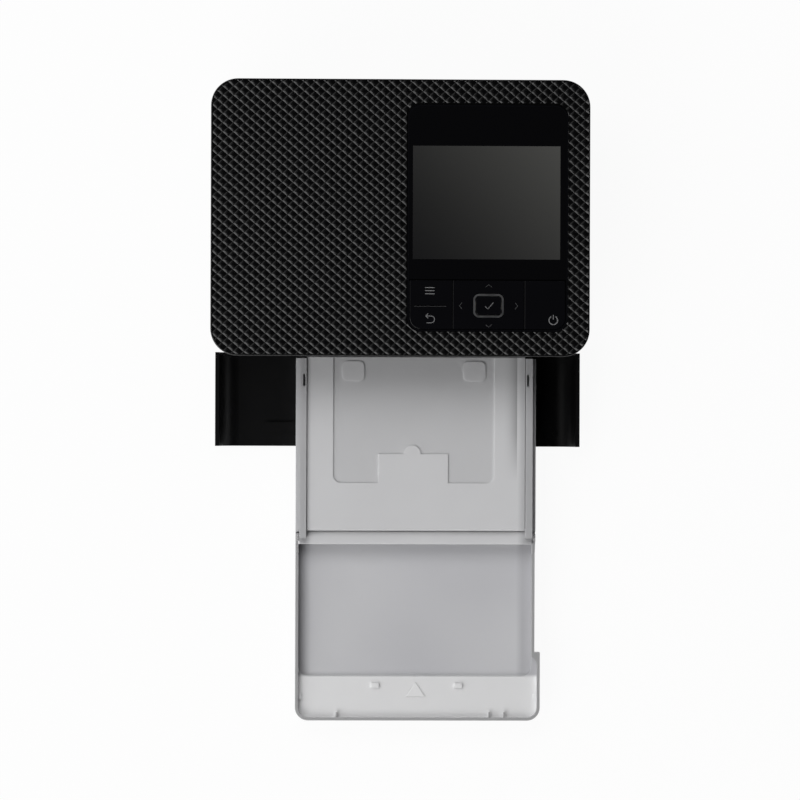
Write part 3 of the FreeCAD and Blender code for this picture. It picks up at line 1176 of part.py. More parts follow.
def make_right_side_plate():
    """The right plate: shaft holes, the ink cartridge's window and the lever's pin."""
    x0 = RIGHT_PLATE_X
    x1 = x0 + PLATE_THICKNESS
    plate = joined([side_plate(x0, x1)] + plate_tabs(x0, 1))
    window = block(x0 - CUT_OVERRUN, x1 + CUT_OVERRUN, WINDOW_FRONT_Y, WINDOW_REAR_Y,
                   RAIL_Z, PLATE_TOP_Z + CUT_OVERRUN)
    ribbon_way = block(x0 - CUT_OVERRUN, x1 + CUT_OVERRUN, SUPPLY_Y + TUBE_RADIUS / 2,
                       TAKEUP_Y - TUBE_RADIUS / 2, WINDOW_LOW_Z, RAIL_Z + CUT_OVERRUN)
    plate = without(plate, [window, ribbon_way])
    shoulder = rod_x(x1, x1 + LEVER_GAP, LEVER_PIVOT_Y, LEVER_PIVOT_Z, LEVER_HUB_RADIUS)
    pin_end = x1 + LEVER_GAP + BUSH_FLANGE_THICKNESS + LEVER_THICKNESS + CUT_OVERRUN
    pin = rod_x(x1, pin_end, LEVER_PIVOT_Y, LEVER_PIVOT_Z, LEVER_PIN_RADIUS)
    return joined([plate, shoulder, pin])


def make_chassis_bridge():
    """The top plate across both side plates, which the thermal head hangs from."""
    x0 = LEFT_PLATE_X - PLATE_THICKNESS
    x1 = RIGHT_PLATE_X + PLATE_THICKNESS
    z0 = PLATE_TOP_Z
    z1 = z0 + BRIDGE_THICKNESS
    plate = rounded_plate(x0, x1, PLATE_FRONT_Y, PLATE_REAR_Y - PLATE_CORNER_RADIUS, z0, z1,
                          PLATE_CORNER_RADIUS)
    windows = []
    width = x1 - x0
    for low, high in ((PLATE_FRONT_Y, SUPPLY_Y - TUBE_RADIUS), (SUPPLY_Y, PLATEN_Y - HEAD_DEPTH),
                      (PLATEN_Y + HEAD_DEPTH, TAKEUP_Y)):
        rim = PLATE_CORNER_RADIUS + BRIDGE_RIB
        windows.append(rounded_plate(x0 + width / 8, x1 - width / 8, low + rim, high, z0 - CUT_OVERRUN,
                                     z1 + CUT_OVERRUN, PLATE_CORNER_RADIUS))
    posts = [rod_z(GUIDE_POST_BOTTOM_Z, z0 + BRIDGE_THICKNESS, x, PLATEN_Y, GUIDE_POST_RADIUS)
             for x in guide_post_places()]
    return joined([without(plate, windows)] + posts)


def guide_post_places():
    """Where the two posts that guide the thermal head stand."""
    half = HEAD_WIDTH / 2 - GUIDE_POST_INSET
    return (CASSETTE_CENTRE_X - half, CASSETTE_CENTRE_X + half)


def make_paper_guides():
    """Two sheet guides under the paper, before and behind the platen roller."""
    top = PAPER_PLANE_Z - GUIDE_DROP
    low = top - GUIDE_THICKNESS
    left = LEFT_PLATE_X
    right = RIGHT_PLATE_X
    front = block(left, right, EJECT_Y + EJECT_RADIUS + GUIDE_ROLLER_GAP,
                  PLATEN_Y - PLATEN_RADIUS - GUIDE_ROLLER_GAP, low, top)
    pockets = []
    for side in (-1, 1):
        x = CASSETTE_CENTRE_X + side * PICK_TYRE_SPACING / 2
        half = PICK_TYRE_WIDTH / 2 + GUIDE_ROLLER_GAP
        pockets.append(block(x - half, x + half, PICK_Y - PICK_RADIUS - GUIDE_ROLLER_GAP,
                             PLATEN_Y, low - CUT_OVERRUN, top + CUT_OVERRUN))
    rear = block(left, right, PLATEN_Y + PLATEN_RADIUS + GUIDE_ROLLER_GAP,
                 CAPSTAN_Y - CAPSTAN_RADIUS - GUIDE_ROLLER_GAP, low, top)
    lip_y = CASSETTE_REAR_Y + WALL
    lip = block(left, right, lip_y, lip_y + GUIDE_THICKNESS, INSERT_TOP_Z - CASSETTE_WALL, low)
    return [without(front, pockets), joined([rear, lip])]


def make_shaft_bushes():
    """A flanged bush for every shaft in each side plate, and one for the spindle."""
    bushes = []
    left_face = LEFT_PLATE_X - PLATE_THICKNESS
    right_face = RIGHT_PLATE_X + PLATE_THICKNESS
    for y, z in shaft_places():
        bushes.append(bush(left_face, 1, y, z))
        bushes.append(bush(right_face, -1, y, z))
    bushes.append(bush(left_face, 1, TAKEUP_Y, TUBE_Z))
    return bushes


def bush(face, way, y, z):
    """One bush pressed into a plate from outside, its flange on the plate's face."""
    outer = face - way * BUSH_FLANGE_THICKNESS
    inner = outer + way * BUSH_LENGTH
    body = rod_x(min(outer, inner), max(outer, inner), y, z, BUSH_RADIUS)
    flange = rod_x(min(outer, face), max(outer, face), y, z, BUSH_FLANGE_RADIUS)
    bore = rod_x(min(outer, inner) - CUT_OVERRUN, max(outer, inner) + CUT_OVERRUN, y, z,
                 SHAFT_RADIUS + RUNNING_FIT)
    return joined([body, flange]).cut(bore)


# Rollers

def roller_shaft(y, z, geared):
    """A steel shaft through both plates, longer on the left where it carries a gear."""
    left = SHAFT_LEFT_X if geared else LEFT_PLATE_X - PLATE_THICKNESS * 2
    right = RIGHT_PLATE_X + PLATE_THICKNESS * 2
    return rod_x(left, right, y, z, SHAFT_RADIUS)


def full_roller(y, z, radius, geared):
    """A roller that runs the whole width of the paper."""
    barrel = rod_x(ROLLER_LEFT, ROLLER_RIGHT, y, z, radius)
    return joined([roller_shaft(y, z, geared), barrel])


def tyred_roller(y, z, radius):
    """A shaft with short tyres spaced across the paper."""
    parts = [roller_shaft(y, z, False)]
    for index in range(TYRE_COUNT):
        x = CASSETTE_CENTRE_X + (index - (TYRE_COUNT - 1) / 2) * TYRE_SPACING
        parts.append(rod_x(x - TYRE_WIDTH / 2, x + TYRE_WIDTH / 2, y, z, radius))
    return joined(parts)


def make_capstan_roller():
    """The grip roller that sets how far the paper moves, with its gear."""
    gear = gear_solid(CAPSTAN_Y, CAPSTAN_Z, FEED_TEETH, capstan_phase(), 0)
    return joined([full_roller(CAPSTAN_Y, CAPSTAN_Z, CAPSTAN_RADIUS, True), gear])


def make_pick_roller():
    """The pick shaft with its gear; the two rubber tyres are a piece of their own."""
    gear = gear_solid(PICK_Y, PICK_Z, FEED_TEETH, gear_phases()["pick"], 0)
    return joined([roller_shaft(PICK_Y, PICK_Z, True), gear])


def make_pick_tyres():
    """Two rubber tyres on the pick shaft."""
    tyres = []
    for side in (-1, 1):
        x = CASSETTE_CENTRE_X + side * PICK_TYRE_SPACING / 2
        left = x - PICK_TYRE_WIDTH / 2
        right = x + PICK_TYRE_WIDTH / 2
        tyre = rod_x(left, right, PICK_Y, PICK_Z, PICK_RADIUS)
        tyres.append(tyre.cut(rod_x(left, right, PICK_Y, PICK_Z, SHAFT_RADIUS)))
    return tyres


def make_eject_roller():
    """The driven roller behind the print's mouth, with its gear."""
    parts = [roller_shaft(EJECT_Y, EJECT_Z, True)]
    for index in range(TYRE_COUNT):
        x = CASSETTE_CENTRE_X + (index - (TYRE_COUNT - 1) / 2) * TYRE_SPACING
        parts.append(rod_x(x - TYRE_WIDTH / 2, x + TYRE_WIDTH / 2, EJECT_Y, EJECT_Z,
                           EJECT_RADIUS))
    parts.append(gear_solid(EJECT_Y, EJECT_Z, FEED_TEETH, gear_phases()["eject"], 0))
    return joined(parts)


# Gears

def pitch_radius(teeth):
    """A gear's pitch radius."""
    return GEAR_MODULE * teeth / 2


def flank_half_angle(teeth, radius):
    """Half of a tooth's angle at a radius, from the involute of its base circle."""
    pressure = math.radians(PRESSURE_ANGLE)
    base = pitch_radius(teeth) * math.cos(pressure)
    at_pitch = (math.pi * GEAR_MODULE / 2 - GEAR_BACKLASH) / 2 / pitch_radius(teeth)
    involute = math.tan(pressure) - pressure
    here = math.acos(min(base / max(radius, base), 1))
    return at_pitch + involute - (math.tan(here) - here)


def gear_outline(y, z, teeth, phase, x):
    """The closed outline of a gear in the plane across X."""
    pitch = pitch_radius(teeth)
    tip = pitch + GEAR_ADDENDUM * GEAR_MODULE
    root = pitch - GEAR_DEDENDUM * GEAR_MODULE
    points = []
    for tooth in range(teeth):
        centre = math.radians(phase + tooth * FULL_TURN / teeth)
        for radius, way in ((root, -1), (pitch, -1), (tip, -1), (tip, 1), (pitch, 1), (root, 1)):
            angle = centre + way * flank_half_angle(teeth, radius)
            points.append(Vector(x, y + radius * math.cos(angle), z + radius * math.sin(angle)))
    return Part.makePolygon(points + points[:1])


def gear_solid(y, z, teeth, phase, bore):
    """A spur gear with a thin web between its rim and its hub."""
    face = Part.Face(gear_outline(y, z, teeth, phase, GEAR_LEFT_X))
    gear = face.extrude(Vector(GEAR_WIDTH, 0, 0))
    rim = pitch_radius(teeth) - GEAR_DEDENDUM * GEAR_MODULE - GEAR_RIM
    if rim > GEAR_HUB_RADIUS + GEAR_MODULE:
        depth = (GEAR_WIDTH - GEAR_WEB_THICKNESS) / 2
        for x0, x1 in ((GEAR_LEFT_X - CUT_OVERRUN, GEAR_LEFT_X + depth),
                       (GEAR_RIGHT_X - depth, GEAR_RIGHT_X + CUT_OVERRUN)):
            ring = rod_x(x0, x1, y, z, rim).cut(rod_x(x0, x1, y, z, GEAR_HUB_RADIUS))
            gear = gear.cut(ring)
    if bore:
        gear = gear.cut(rod_x(GEAR_LEFT_X - CUT_OVERRUN, GEAR_RIGHT_X + CUT_OVERRUN, y, z, bore))
    return gear


def beside(place, distance, angle):
    """A place at a distance and angle from another, in the YZ plane."""
    turn = math.radians(angle)
    return (place[0] + distance * math.cos(turn), place[1] + distance * math.sin(turn))


def angle_to(place, other):
    """The direction from one place to another, in degrees from +Y towards +Z."""
    return math.degrees(math.atan2(other[1] - place[1], other[0] - place[0]))


def meeting_place(first, first_distance, second, second_distance, side):
    """The place at one distance from each of two others, on the chosen side of their line."""
    gap = math.hypot(second[0] - first[0], second[1] - first[1])
    along = (gap ** 2 + first_distance ** 2 - second_distance ** 2) / (2 * gap)
    off = math.sqrt(first_distance ** 2 - along ** 2)
    way = ((second[0] - first[0]) / gap, (second[1] - first[1]) / gap)
    return (first[0] + along * way[0] - side * off * way[1],
            first[1] + along * way[1] + side * off * way[0])


def gear_distance(first_teeth, second_teeth):
    """How far apart two meshed gears stand."""
    return pitch_radius(first_teeth) + pitch_radius(second_teeth)


def idler_places():
    """Idlers a and b from the capstan to the pick roller, c and d on to the eject roller."""
    near = gear_distance(FEED_TEETH, IDLER_TEETH)
    both = gear_distance(IDLER_TEETH, IDLER_TEETH)
    capstan = (CAPSTAN_Y, CAPSTAN_Z)
    pick = (PICK_Y, PICK_Z)
    eject = (EJECT_Y, EJECT_Z)
    a = beside(capstan, near, IDLER_A_ANGLE)
    b = meeting_place(a, both, pick, near, 1)
    c = beside(pick, near, IDLER_C_ANGLE)
    d = meeting_place(c, both, eject, near, -1)
    return [a, b, c, d]


def feed_pinion_place():
    """The feed motor's pinion, in mesh with idler b."""
    distance = gear_distance(PINION_TEETH, IDLER_TEETH)
    return beside(idler_places()[1], distance, FEED_PINION_ANGLE)


def ribbon_pinion_place():
    """The ribbon motor's pinion, in mesh with the take-up spindle's gear."""
    distance = gear_distance(PINION_TEETH, SPINDLE_TEETH)
    return beside((TAKEUP_Y, TUBE_Z), distance, RIBBON_PINION_ANGLE)


def meshed_phase(first, first_teeth, first_phase, second, second_teeth):
    """The phase that puts a tooth gap of the second gear on a tooth of the first."""
    direction = angle_to(first, second)
    steps = (direction - first_phase) * first_teeth / FULL_TURN
    pitch = FULL_TURN / second_teeth
    return direction + HALF_TURN - pitch / 2 + steps * pitch


def capstan_phase():
    """The capstan gear's own phase, which the others follow."""
    return 0


def gear_phases():
    """The phase of every gear in the feed train."""
    a, b, c, d = idler_places()
    pick = (PICK_Y, PICK_Z)
    eject = (EJECT_Y, EJECT_Z)
    phases = {}
    phases["a"] = meshed_phase((CAPSTAN_Y, CAPSTAN_Z), FEED_TEETH, capstan_phase(), a,
                               IDLER_TEETH)
    phases["b"] = meshed_phase(a, IDLER_TEETH, phases["a"], b, IDLER_TEETH)
    phases["pick"] = meshed_phase(b, IDLER_TEETH, phases["b"], pick, FEED_TEETH)
    phases["c"] = meshed_phase(pick, FEED_TEETH, phases["pick"], c, IDLER_TEETH)
    phases["d"] = meshed_phase(c, IDLER_TEETH, phases["c"], d, IDLER_TEETH)
    phases["eject"] = meshed_phase(d, IDLER_TEETH, phases["d"], eject, FEED_TEETH)
    phases["pinion"] = meshed_phase(b, IDLER_TEETH, phases["b"], feed_pinion_place(),
                                    PINION_TEETH)
    return phases


def make_idler_gear(index, name):
    """One idler gear with its bore."""
    y, z = idler_places()[index]
    return gear_solid(y, z, IDLER_TEETH, gear_phases()[name], POST_RADIUS + RUNNING_FIT)


def gear_posts():
    """The four posts that the idlers run on, riveted in the gear plate."""
    return [rod_x(GEAR_PLATE_X - GEAR_PLATE_THICKNESS, LEFT_PLATE_X, y, z, POST_RADIUS)
            for y, z in idler_places()]


def make_gear_plate():
    """The outer plate that holds the posts and both motors."""
    x1 = GEAR_PLATE_X
    x0 = x1 - GEAR_PLATE_THICKNESS
    idlers = idler_places()
    low = FLOOR_TOP
    front = idlers[3][0] - pitch_radius(IDLER_TEETH)
    rear = CAPSTAN_Y + GEAR_PLATE_MARGIN
    motor_y, motor_z = feed_pinion_place()
    ribbon_y, ribbon_z = ribbon_pinion_place()
    high = ribbon_z
    plate = plate_yz(x0, x1, front, rear, low, high, PLATE_CORNER_RADIUS)
    cuts = []
    for y, z in ((motor_y, motor_z), (ribbon_y, ribbon_z)):
        cuts.append(rod_x(x0 - CUT_OVERRUN, x1 + CUT_OVERRUN, y, z,
                          MOTOR_BOSS_RADIUS + SIDE_GAP))
    plate = joined([plate, rod_x(x0, x1, ribbon_y, ribbon_z, RIBBON_MOTOR_RADIUS)]
                   + [plate_foot(x0, y) for y in (front + PLATE_TAB_LENGTH,
                                                  rear - PLATE_TAB_LENGTH * 3)])
    return joined([without(plate, cuts)] + gear_posts())


def plate_foot(x, y):
    """A foot bent out from the gear plate onto the floor."""
    return block(x - PLATE_TAB_WIDTH, x, y, y + PLATE_TAB_LENGTH, FLOOR_TOP,
                 FLOOR_TOP + GEAR_PLATE_THICKNESS)


def motor(place, radius, length):
    """A motor can with its round end and its boss in the gear plate."""
    y, z = place
    face = GEAR_PLATE_X - GEAR_PLATE_THICKNESS
    can = rod_x(face - length, face, y, z, radius)
    rear_edges = [edge for edge in can.Edges if edge.BoundBox.XMax < face - length / 2]
    can = can.makeFillet(MOTOR_END_ROUND, rear_edges)
    boss = rod_x(face, face + MOTOR_BOSS_HEIGHT, y, z, MOTOR_BOSS_RADIUS)
    tail = rod_x(face - length - MOTOR_BOSS_HEIGHT, face - length, y, z, MOTOR_BOSS_RADIUS)
    bore = rod_x(face - length / 2, face + MOTOR_BOSS_HEIGHT + CUT_OVERRUN, y, z,
                 MOTOR_SHAFT_RADIUS + RUNNING_FIT)
    return joined([can, boss, tail]).cut(bore)


def motor_pinion(place, phase):
    """A motor's shaft and pinion."""
    y, z = place
    start = GEAR_PLATE_X - GEAR_PLATE_THICKNESS * 4
    shaft = rod_x(start, GEAR_RIGHT_X, y, z, MOTOR_SHAFT_RADIUS)
    return joined([gear_solid(y, z, PINION_TEETH, phase, 0), shaft])


def spindle_phase():
    """The spindle gear's own phase."""
    return 0


def dog(x0, x1, radius, fin_radius, fin_width):
    """A splined nose: a core with fins round it."""
    parts = [rod_x(x0, x1, TAKEUP_Y, TUBE_Z, radius)]
    for index in range(DOG_FIN_COUNT):
        fin = block(x0, x1, TAKEUP_Y - fin_width / 2, TAKEUP_Y + fin_width / 2,
                    TUBE_Z, TUBE_Z + fin_radius)
        parts.append(fin.rotated(Vector(x0, TAKEUP_Y, TUBE_Z), X_AXIS,
                                 index * FULL_TURN / DOG_FIN_COUNT))
    return joined(parts)


def make_takeup_spindle():
    """The spindle that winds the used ribbon: gear, shaft and splined nose."""
    gear = gear_solid(TAKEUP_Y, TUBE_Z, SPINDLE_TEETH, spindle_phase(), 0)
    shaft = rod_x(SHAFT_LEFT_X, CARTRIDGE_LEFT, TAKEUP_Y, TUBE_Z, SHAFT_RADIUS)
    nose = dog(LEFT_PLATE_X + PLATE_THICKNESS, CARTRIDGE_LEFT + DOG_REACH, DOG_RADIUS,
               DOG_FIN_RADIUS, DOG_FIN_WIDTH)
    return joined([gear, shaft, nose])


# Fan

def make_fan_housing():
    """The square fan frame, with the spider that holds the rotor's axle."""
    x0 = -INNER_X
    x1 = x0 + FAN_DEPTH
    half = FAN_SIZE / 2
    frame = plate_yz(x0, x1, FAN_CENTRE_Y - half, FAN_CENTRE_Y + half, FAN_CENTRE_Z - half,
                     FAN_CENTRE_Z + half, PLATE_CORNER_RADIUS)
    bore = rod_x(x0 - CUT_OVERRUN, x1 + CUT_OVERRUN, FAN_CENTRE_Y, FAN_CENTRE_Z,
                 FAN_BORE_RADIUS)
    ring = frame.cut(bore)
    back = x1 - FAN_WALL
    hub = rod_x(back, x1, FAN_CENTRE_Y, FAN_CENTRE_Z, FAN_SPIDER_RADIUS)
    axle = rod_x(x0 + FAN_WALL, x1, FAN_CENTRE_Y, FAN_CENTRE_Z, FAN_AXLE_RADIUS)
    arms = []
    for index in range(DOG_FIN_COUNT):
        arm = block(back, x1, FAN_CENTRE_Y - FAN_ARM_WIDTH / 2, FAN_CENTRE_Y + FAN_ARM_WIDTH / 2,
                    FAN_CENTRE_Z, FAN_CENTRE_Z + FAN_BORE_RADIUS + FAN_WALL / 2)
        arms.append(arm.rotated(Vector(back, FAN_CENTRE_Y, FAN_CENTRE_Z), X_AXIS,
                                index * FULL_TURN / DOG_FIN_COUNT))
    stand = block(x0, x1, FAN_CENTRE_Y - half / 2, FAN_CENTRE_Y + half / 2, FLOOR_TOP,
                  FAN_CENTRE_Z - half + FAN_WALL)
    stand = stand.cut(bore)
    return joined([ring, hub, axle, stand] + arms)


def make_fan_rotor():
    """The fan's hub and its blades."""
    x0 = -INNER_X + FAN_WALL
    x1 = x0 + FAN_DEPTH - FAN_WALL * 3
    hub = rod_x(x0, x1, FAN_CENTRE_Y, FAN_CENTRE_Z, FAN_HUB_RADIUS)
    parts = [hub]
    tip = FAN_BORE_RADIUS - FAN_BLADE_TIP_GAP
    middle = (x0 + x1) / 2
    for index in range(FAN_BLADE_COUNT):
        blade = block(x0 - FAN_WALL, x1 + FAN_WALL, FAN_CENTRE_Y - FAN_BLADE_THICKNESS / 2,
                      FAN_CENTRE_Y + FAN_BLADE_THICKNESS / 2, FAN_CENTRE_Z + FAN_HUB_RADIUS / 2,
                      FAN_CENTRE_Z + tip)
        blade.rotate(Vector(middle, FAN_CENTRE_Y, FAN_CENTRE_Z), Z_AXIS, FULL_TURN / 8)
        turned = blade.rotated(Vector(middle, FAN_CENTRE_Y, FAN_CENTRE_Z), X_AXIS,
                               index * FULL_TURN / FAN_BLADE_COUNT)
        parts.append(turned)
    rotor = joined(parts)
    limits = rod_x(x0, x1, FAN_CENTRE_Y, FAN_CENTRE_Z, tip)
    bore = rod_x(x0 - FAN_WALL * 2, x1 + FAN_WALL * 2, FAN_CENTRE_Y, FAN_CENTRE_Z,
                 FAN_AXLE_RADIUS + RUNNING_FIT)
    return rotor.common(limits).cut(bore)


# Ink cartridge

def cartridge_tube(y, slot_side):
    """One round housing of the cartridge, with its end walls and the ribbon's slot."""
    outer = rod_x(CARTRIDGE_LEFT, CARTRIDGE_RIGHT, y, TUBE_Z, TUBE_RADIUS)
    inner_right = ROLLER_RIGHT - SPOOL_BEARING_WALL
    inner = rod_x(CARTRIDGE_LEFT + SPOOL_BEARING_WALL, inner_right, y, TUBE_Z,
                  TUBE_RADIUS - TUBE_WALL)
    grip = rod_x(inner_right + SPOOL_BEARING_WALL * 2, CARTRIDGE_RIGHT - SPOOL_BEARING_WALL, y,
                 TUBE_Z, TUBE_RADIUS - TUBE_WALL)
    left_hole = rod_x(CARTRIDGE_LEFT - CUT_OVERRUN, CARTRIDGE_LEFT + SPOOL_BEARING_WALL * 2, y,
                      TUBE_Z, SPOOL_HUB_RADIUS + RUNNING_FIT)
    right_hole = rod_x(inner_right - CUT_OVERRUN, inner_right + SPOOL_BEARING_WALL * 2 + CUT_OVERRUN,
                       y, TUBE_Z, SPOOL_JOURNAL_RADIUS + RUNNING_FIT)
    edge = y + slot_side * TUBE_RADIUS
    deep = y + slot_side * (TUBE_RADIUS - TUBE_SLOT_WIDTH * 2)
    half = RIBBON_WIDTH / 2 + CUT_OVERRUN
    slot = block(CASSETTE_CENTRE_X - half, CASSETTE_CENTRE_X + half,
                 min(edge, deep), max(edge, deep), TUBE_BOTTOM_Z - CUT_OVERRUN,
                 TUBE_BOTTOM_Z + TUBE_SLOT_WIDTH * 1.5)
    return without(outer, [inner, grip, left_hole, right_hole, slot])


def make_cartridge_case():
    """The cartridge's case: two housings joined by a bar at each end."""
    parts = [cartridge_tube(SUPPLY_Y, 1), cartridge_tube(TAKEUP_Y, -1)]
    front = SUPPLY_Y
    back = TAKEUP_Y
    for x0, x1 in ((CARTRIDGE_LEFT, CARTRIDGE_LEFT + FAR_BAR_WIDTH),
                   (CARTRIDGE_RIGHT - NEAR_BAR_WIDTH, CARTRIDGE_RIGHT)):
        bar = block(x0, x1, front, back, BAR_BOTTOM_Z, BAR_BOTTOM_Z + BAR_THICKNESS)
        for y in (SUPPLY_Y, TAKEUP_Y):
            bar = bar.cut(rod_x(x0, x1, y, TUBE_Z, TUBE_RADIUS - TUBE_WALL))
        parts.append(bar)
    rib_low = BAR_BOTTOM_Z + BAR_THICKNESS
    rib = block(CARTRIDGE_RIGHT - TUBE_WALL * 2, CARTRIDGE_RIGHT, front, back,
                rib_low - CUT_OVERRUN, TUBE_Z)
    for y in (SUPPLY_Y, TAKEUP_Y):
        rib = rib.cut(rod_x(CARTRIDGE_RIGHT - TUBE_WALL * 3, CARTRIDGE_RIGHT + CUT_OVERRUN, y,
                            TUBE_Z, TUBE_RADIUS - TUBE_WALL))
    return joined(parts + [rib])


def spool(y, roll_radius, socket):
    """A spool wound with ribbon, with flanges, a hub on the left and a journal on the right."""
    left = CARTRIDGE_LEFT + SPOOL_BEARING_WALL + SIDE_GAP
    right = ROLLER_RIGHT - SPOOL_BEARING_WALL - SIDE_GAP
    hub = rod_x(CARTRIDGE_LEFT + SIDE_GAP, left + SOCKET_DEPTH, y, TUBE_Z, SPOOL_HUB_RADIUS)
    core = rod_x(left, right, y, TUBE_Z, SPOOL_CORE_RADIUS)
    journal = rod_x(right, right + SPOOL_BEARING_WALL * 2, y, TUBE_Z, SPOOL_JOURNAL_RADIUS)
    half = RIBBON_WIDTH / 2
    roll = rod_x(CASSETTE_CENTRE_X - half, CASSETTE_CENTRE_X + half, y, TUBE_Z, roll_radius)
    flanges = []
    for x in (CASSETTE_CENTRE_X - half - SPOOL_FLANGE_THICKNESS, CASSETTE_CENTRE_X + half):
        flanges.append(rod_x(x, x + SPOOL_FLANGE_THICKNESS, y, TUBE_Z, SPOOL_FLANGE_RADIUS))
    whole = joined([hub, core, journal, roll] + flanges)
    return whole.cut(socket)


def make_supply_spool():
    """The spool of fresh ribbon."""
    socket = rod_x(CARTRIDGE_LEFT, CARTRIDGE_LEFT + SOCKET_DEPTH, SUPPLY_Y, TUBE_Z,
                   SPOOL_JOURNAL_RADIUS - TUBE_WALL / 2)
    return spool(SUPPLY_Y, SUPPLY_ROLL_RADIUS, socket)


def make_takeup_spool():
    """The spool that the used ribbon is wound on, with a splined socket."""
    socket = dog(CARTRIDGE_LEFT, CARTRIDGE_LEFT + SOCKET_DEPTH, DOG_RADIUS + DOG_CLEARANCE,
                 DOG_FIN_RADIUS + DOG_CLEARANCE, DOG_FIN_WIDTH + DOG_CLEARANCE * 2)
    return spool(TAKEUP_Y, TAKEUP_ROLL_RADIUS, socket)


def make_ink_ribbon():
    """The stretch of ribbon between the two housings, flat under the head."""
    flat_z = PAPER_PLANE_Z + RIBBON_LIFT
    half = RIBBON_FLAT_DEPTH / 2
    top_z = TUBE_BOTTOM_Z + TUBE_SLOT_WIDTH
    line = [(SUPPLY_Y + TUBE_RADIUS - TUBE_SLOT_WIDTH, top_z), (PLATEN_Y - half, flat_z),
            (PLATEN_Y + half, flat_z), (TAKEUP_Y - TUBE_RADIUS + TUBE_SLOT_WIDTH, top_z)]
    upper = [(y, z + RIBBON_THICKNESS) for y, z in reversed(line)]
    width = RIBBON_WIDTH / 2
    return profile_x(line + upper, CASSETTE_CENTRE_X - width, CASSETTE_CENTRE_X + width)


# Thermal head

def make_thermal_head():
    """The head: a base with a ceramic strip, guide holes and the cam's follower pin."""
    left = CASSETTE_CENTRE_X - HEAD_WIDTH / 2
    right = CASSETTE_CENTRE_X + HEAD_WIDTH / 2
    ceramic_top = HEAD_BOTTOM_Z + HEAD_BEAD_RADIUS + HEAD_CERAMIC_THICKNESS
    base = block(left, right, PLATEN_Y - HEAD_DEPTH / 2, PLATEN_Y + HEAD_DEPTH / 2, ceramic_top,
                 ceramic_top + HEAD_BASE_THICKNESS)
    ceramic = block(left, right, PLATEN_Y - HEAD_CERAMIC_DEPTH / 2,
                    PLATEN_Y + HEAD_CERAMIC_DEPTH / 2, HEAD_BOTTOM_Z + HEAD_BEAD_RADIUS, ceramic_top)
    bead = rod_x(ROLLER_LEFT, ROLLER_RIGHT, PLATEN_Y, HEAD_BOTTOM_Z + HEAD_BEAD_RADIUS,
                 HEAD_BEAD_RADIUS)
    arm = block(left, left + GUIDE_POST_INSET / 2, PLATEN_Y - FOLLOWER_RADIUS,
                PLATEN_Y + FOLLOWER_RADIUS, ceramic_top, FOLLOWER_Z + FOLLOWER_RADIUS)
    pin = rod_x(GEAR_LEFT_X + SIDE_GAP, left + GUIDE_POST_INSET / 2, PLATEN_Y, FOLLOWER_Z,
                FOLLOWER_RADIUS)
    holes = [rod_z(0, BODY_HEIGHT, x, PLATEN_Y, GUIDE_POST_RADIUS + RUNNING_FIT)
             for x in guide_post_places()]
    return without(joined([base, ceramic, bead, arm, pin]), holes)


def make_heat_sink():
    """The finned aluminium block on the head."""
    low = (HEAD_BOTTOM_Z + HEAD_BEAD_RADIUS + HEAD_CERAMIC_THICKNESS + HEAD_BASE_THICKNESS)
    left = CASSETTE_CENTRE_X - HEAD_WIDTH / 2 + GUIDE_POST_INSET / 2 + SIDE_GAP
    right = CASSETTE_CENTRE_X + HEAD_WIDTH / 2
    front = PLATEN_Y - HEAD_DEPTH / 2
    base = block(left, right, front, front + HEAD_DEPTH, low, low + HEAT_SINK_BASE)
    pitch = (HEAD_DEPTH - HEAT_SINK_FIN) / (HEAT_SINK_FIN_COUNT - 1)
    fins = []
    for index in range(HEAT_SINK_FIN_COUNT):
        y = front + index * pitch
        fins.append(block(left, right, y, y + HEAT_SINK_FIN, low, low + HEAT_SINK_HEIGHT))
    holes = [rod_z(0, BODY_HEIGHT, x, PLATEN_Y, GUIDE_POST_RADIUS + SIDE_GAP)
             for x in guide_post_places()]
    return without(joined([base] + fins), holes)


def make_head_cam():
    """The spiral cam that pushes the head's pin down, with its short shaft."""
    start = CAM_Z - FOLLOWER_Z
    rate = HEAD_TRAVEL / math.radians(CAM_TURN)
    offset = FOLLOWER_RADIUS + CAM_CLEARANCE
    points = []
    sweep = CAM_TURN + 2 * CAM_EXTRA_TURN
    for index in range(CAM_POINTS):
        turned = -CAM_EXTRA_TURN + sweep * index / (CAM_POINTS - 1)
        reach = start + rate * math.radians(turned)
        slope = math.atan2(rate, reach)
        angle = -math.pi / 2 - math.radians(turned)
        radius_y = reach * math.cos(angle) - offset * math.cos(angle + slope)
        radius_z = reach * math.sin(angle) - offset * math.sin(angle + slope)
        points.append(Vector(GEAR_LEFT_X, PLATEN_Y + radius_y, CAM_Z + radius_z))
    centre = Vector(GEAR_LEFT_X, PLATEN_Y, CAM_Z)
    curve = Part.BSplineCurve()
    curve.interpolate(points)
    wire = Part.Wire([curve.toShape(), Part.LineSegment(points[-1], centre).toShape(),
                      Part.LineSegment(centre, points[0]).toShape()])
    lobe = Part.Face(wire).extrude(Vector(CAM_WIDTH, 0, 0))
    hub = rod_x(GEAR_LEFT_X, GEAR_LEFT_X + CAM_WIDTH, PLATEN_Y, CAM_Z, CAM_HUB_RADIUS)
    shaft = rod_x(SHAFT_LEFT_X, LEFT_PLATE_X + PLATE_THICKNESS, PLATEN_Y, CAM_Z, SHAFT_RADIUS)
    return joined([lobe, hub, shaft])


# Ink door and cartridge lever

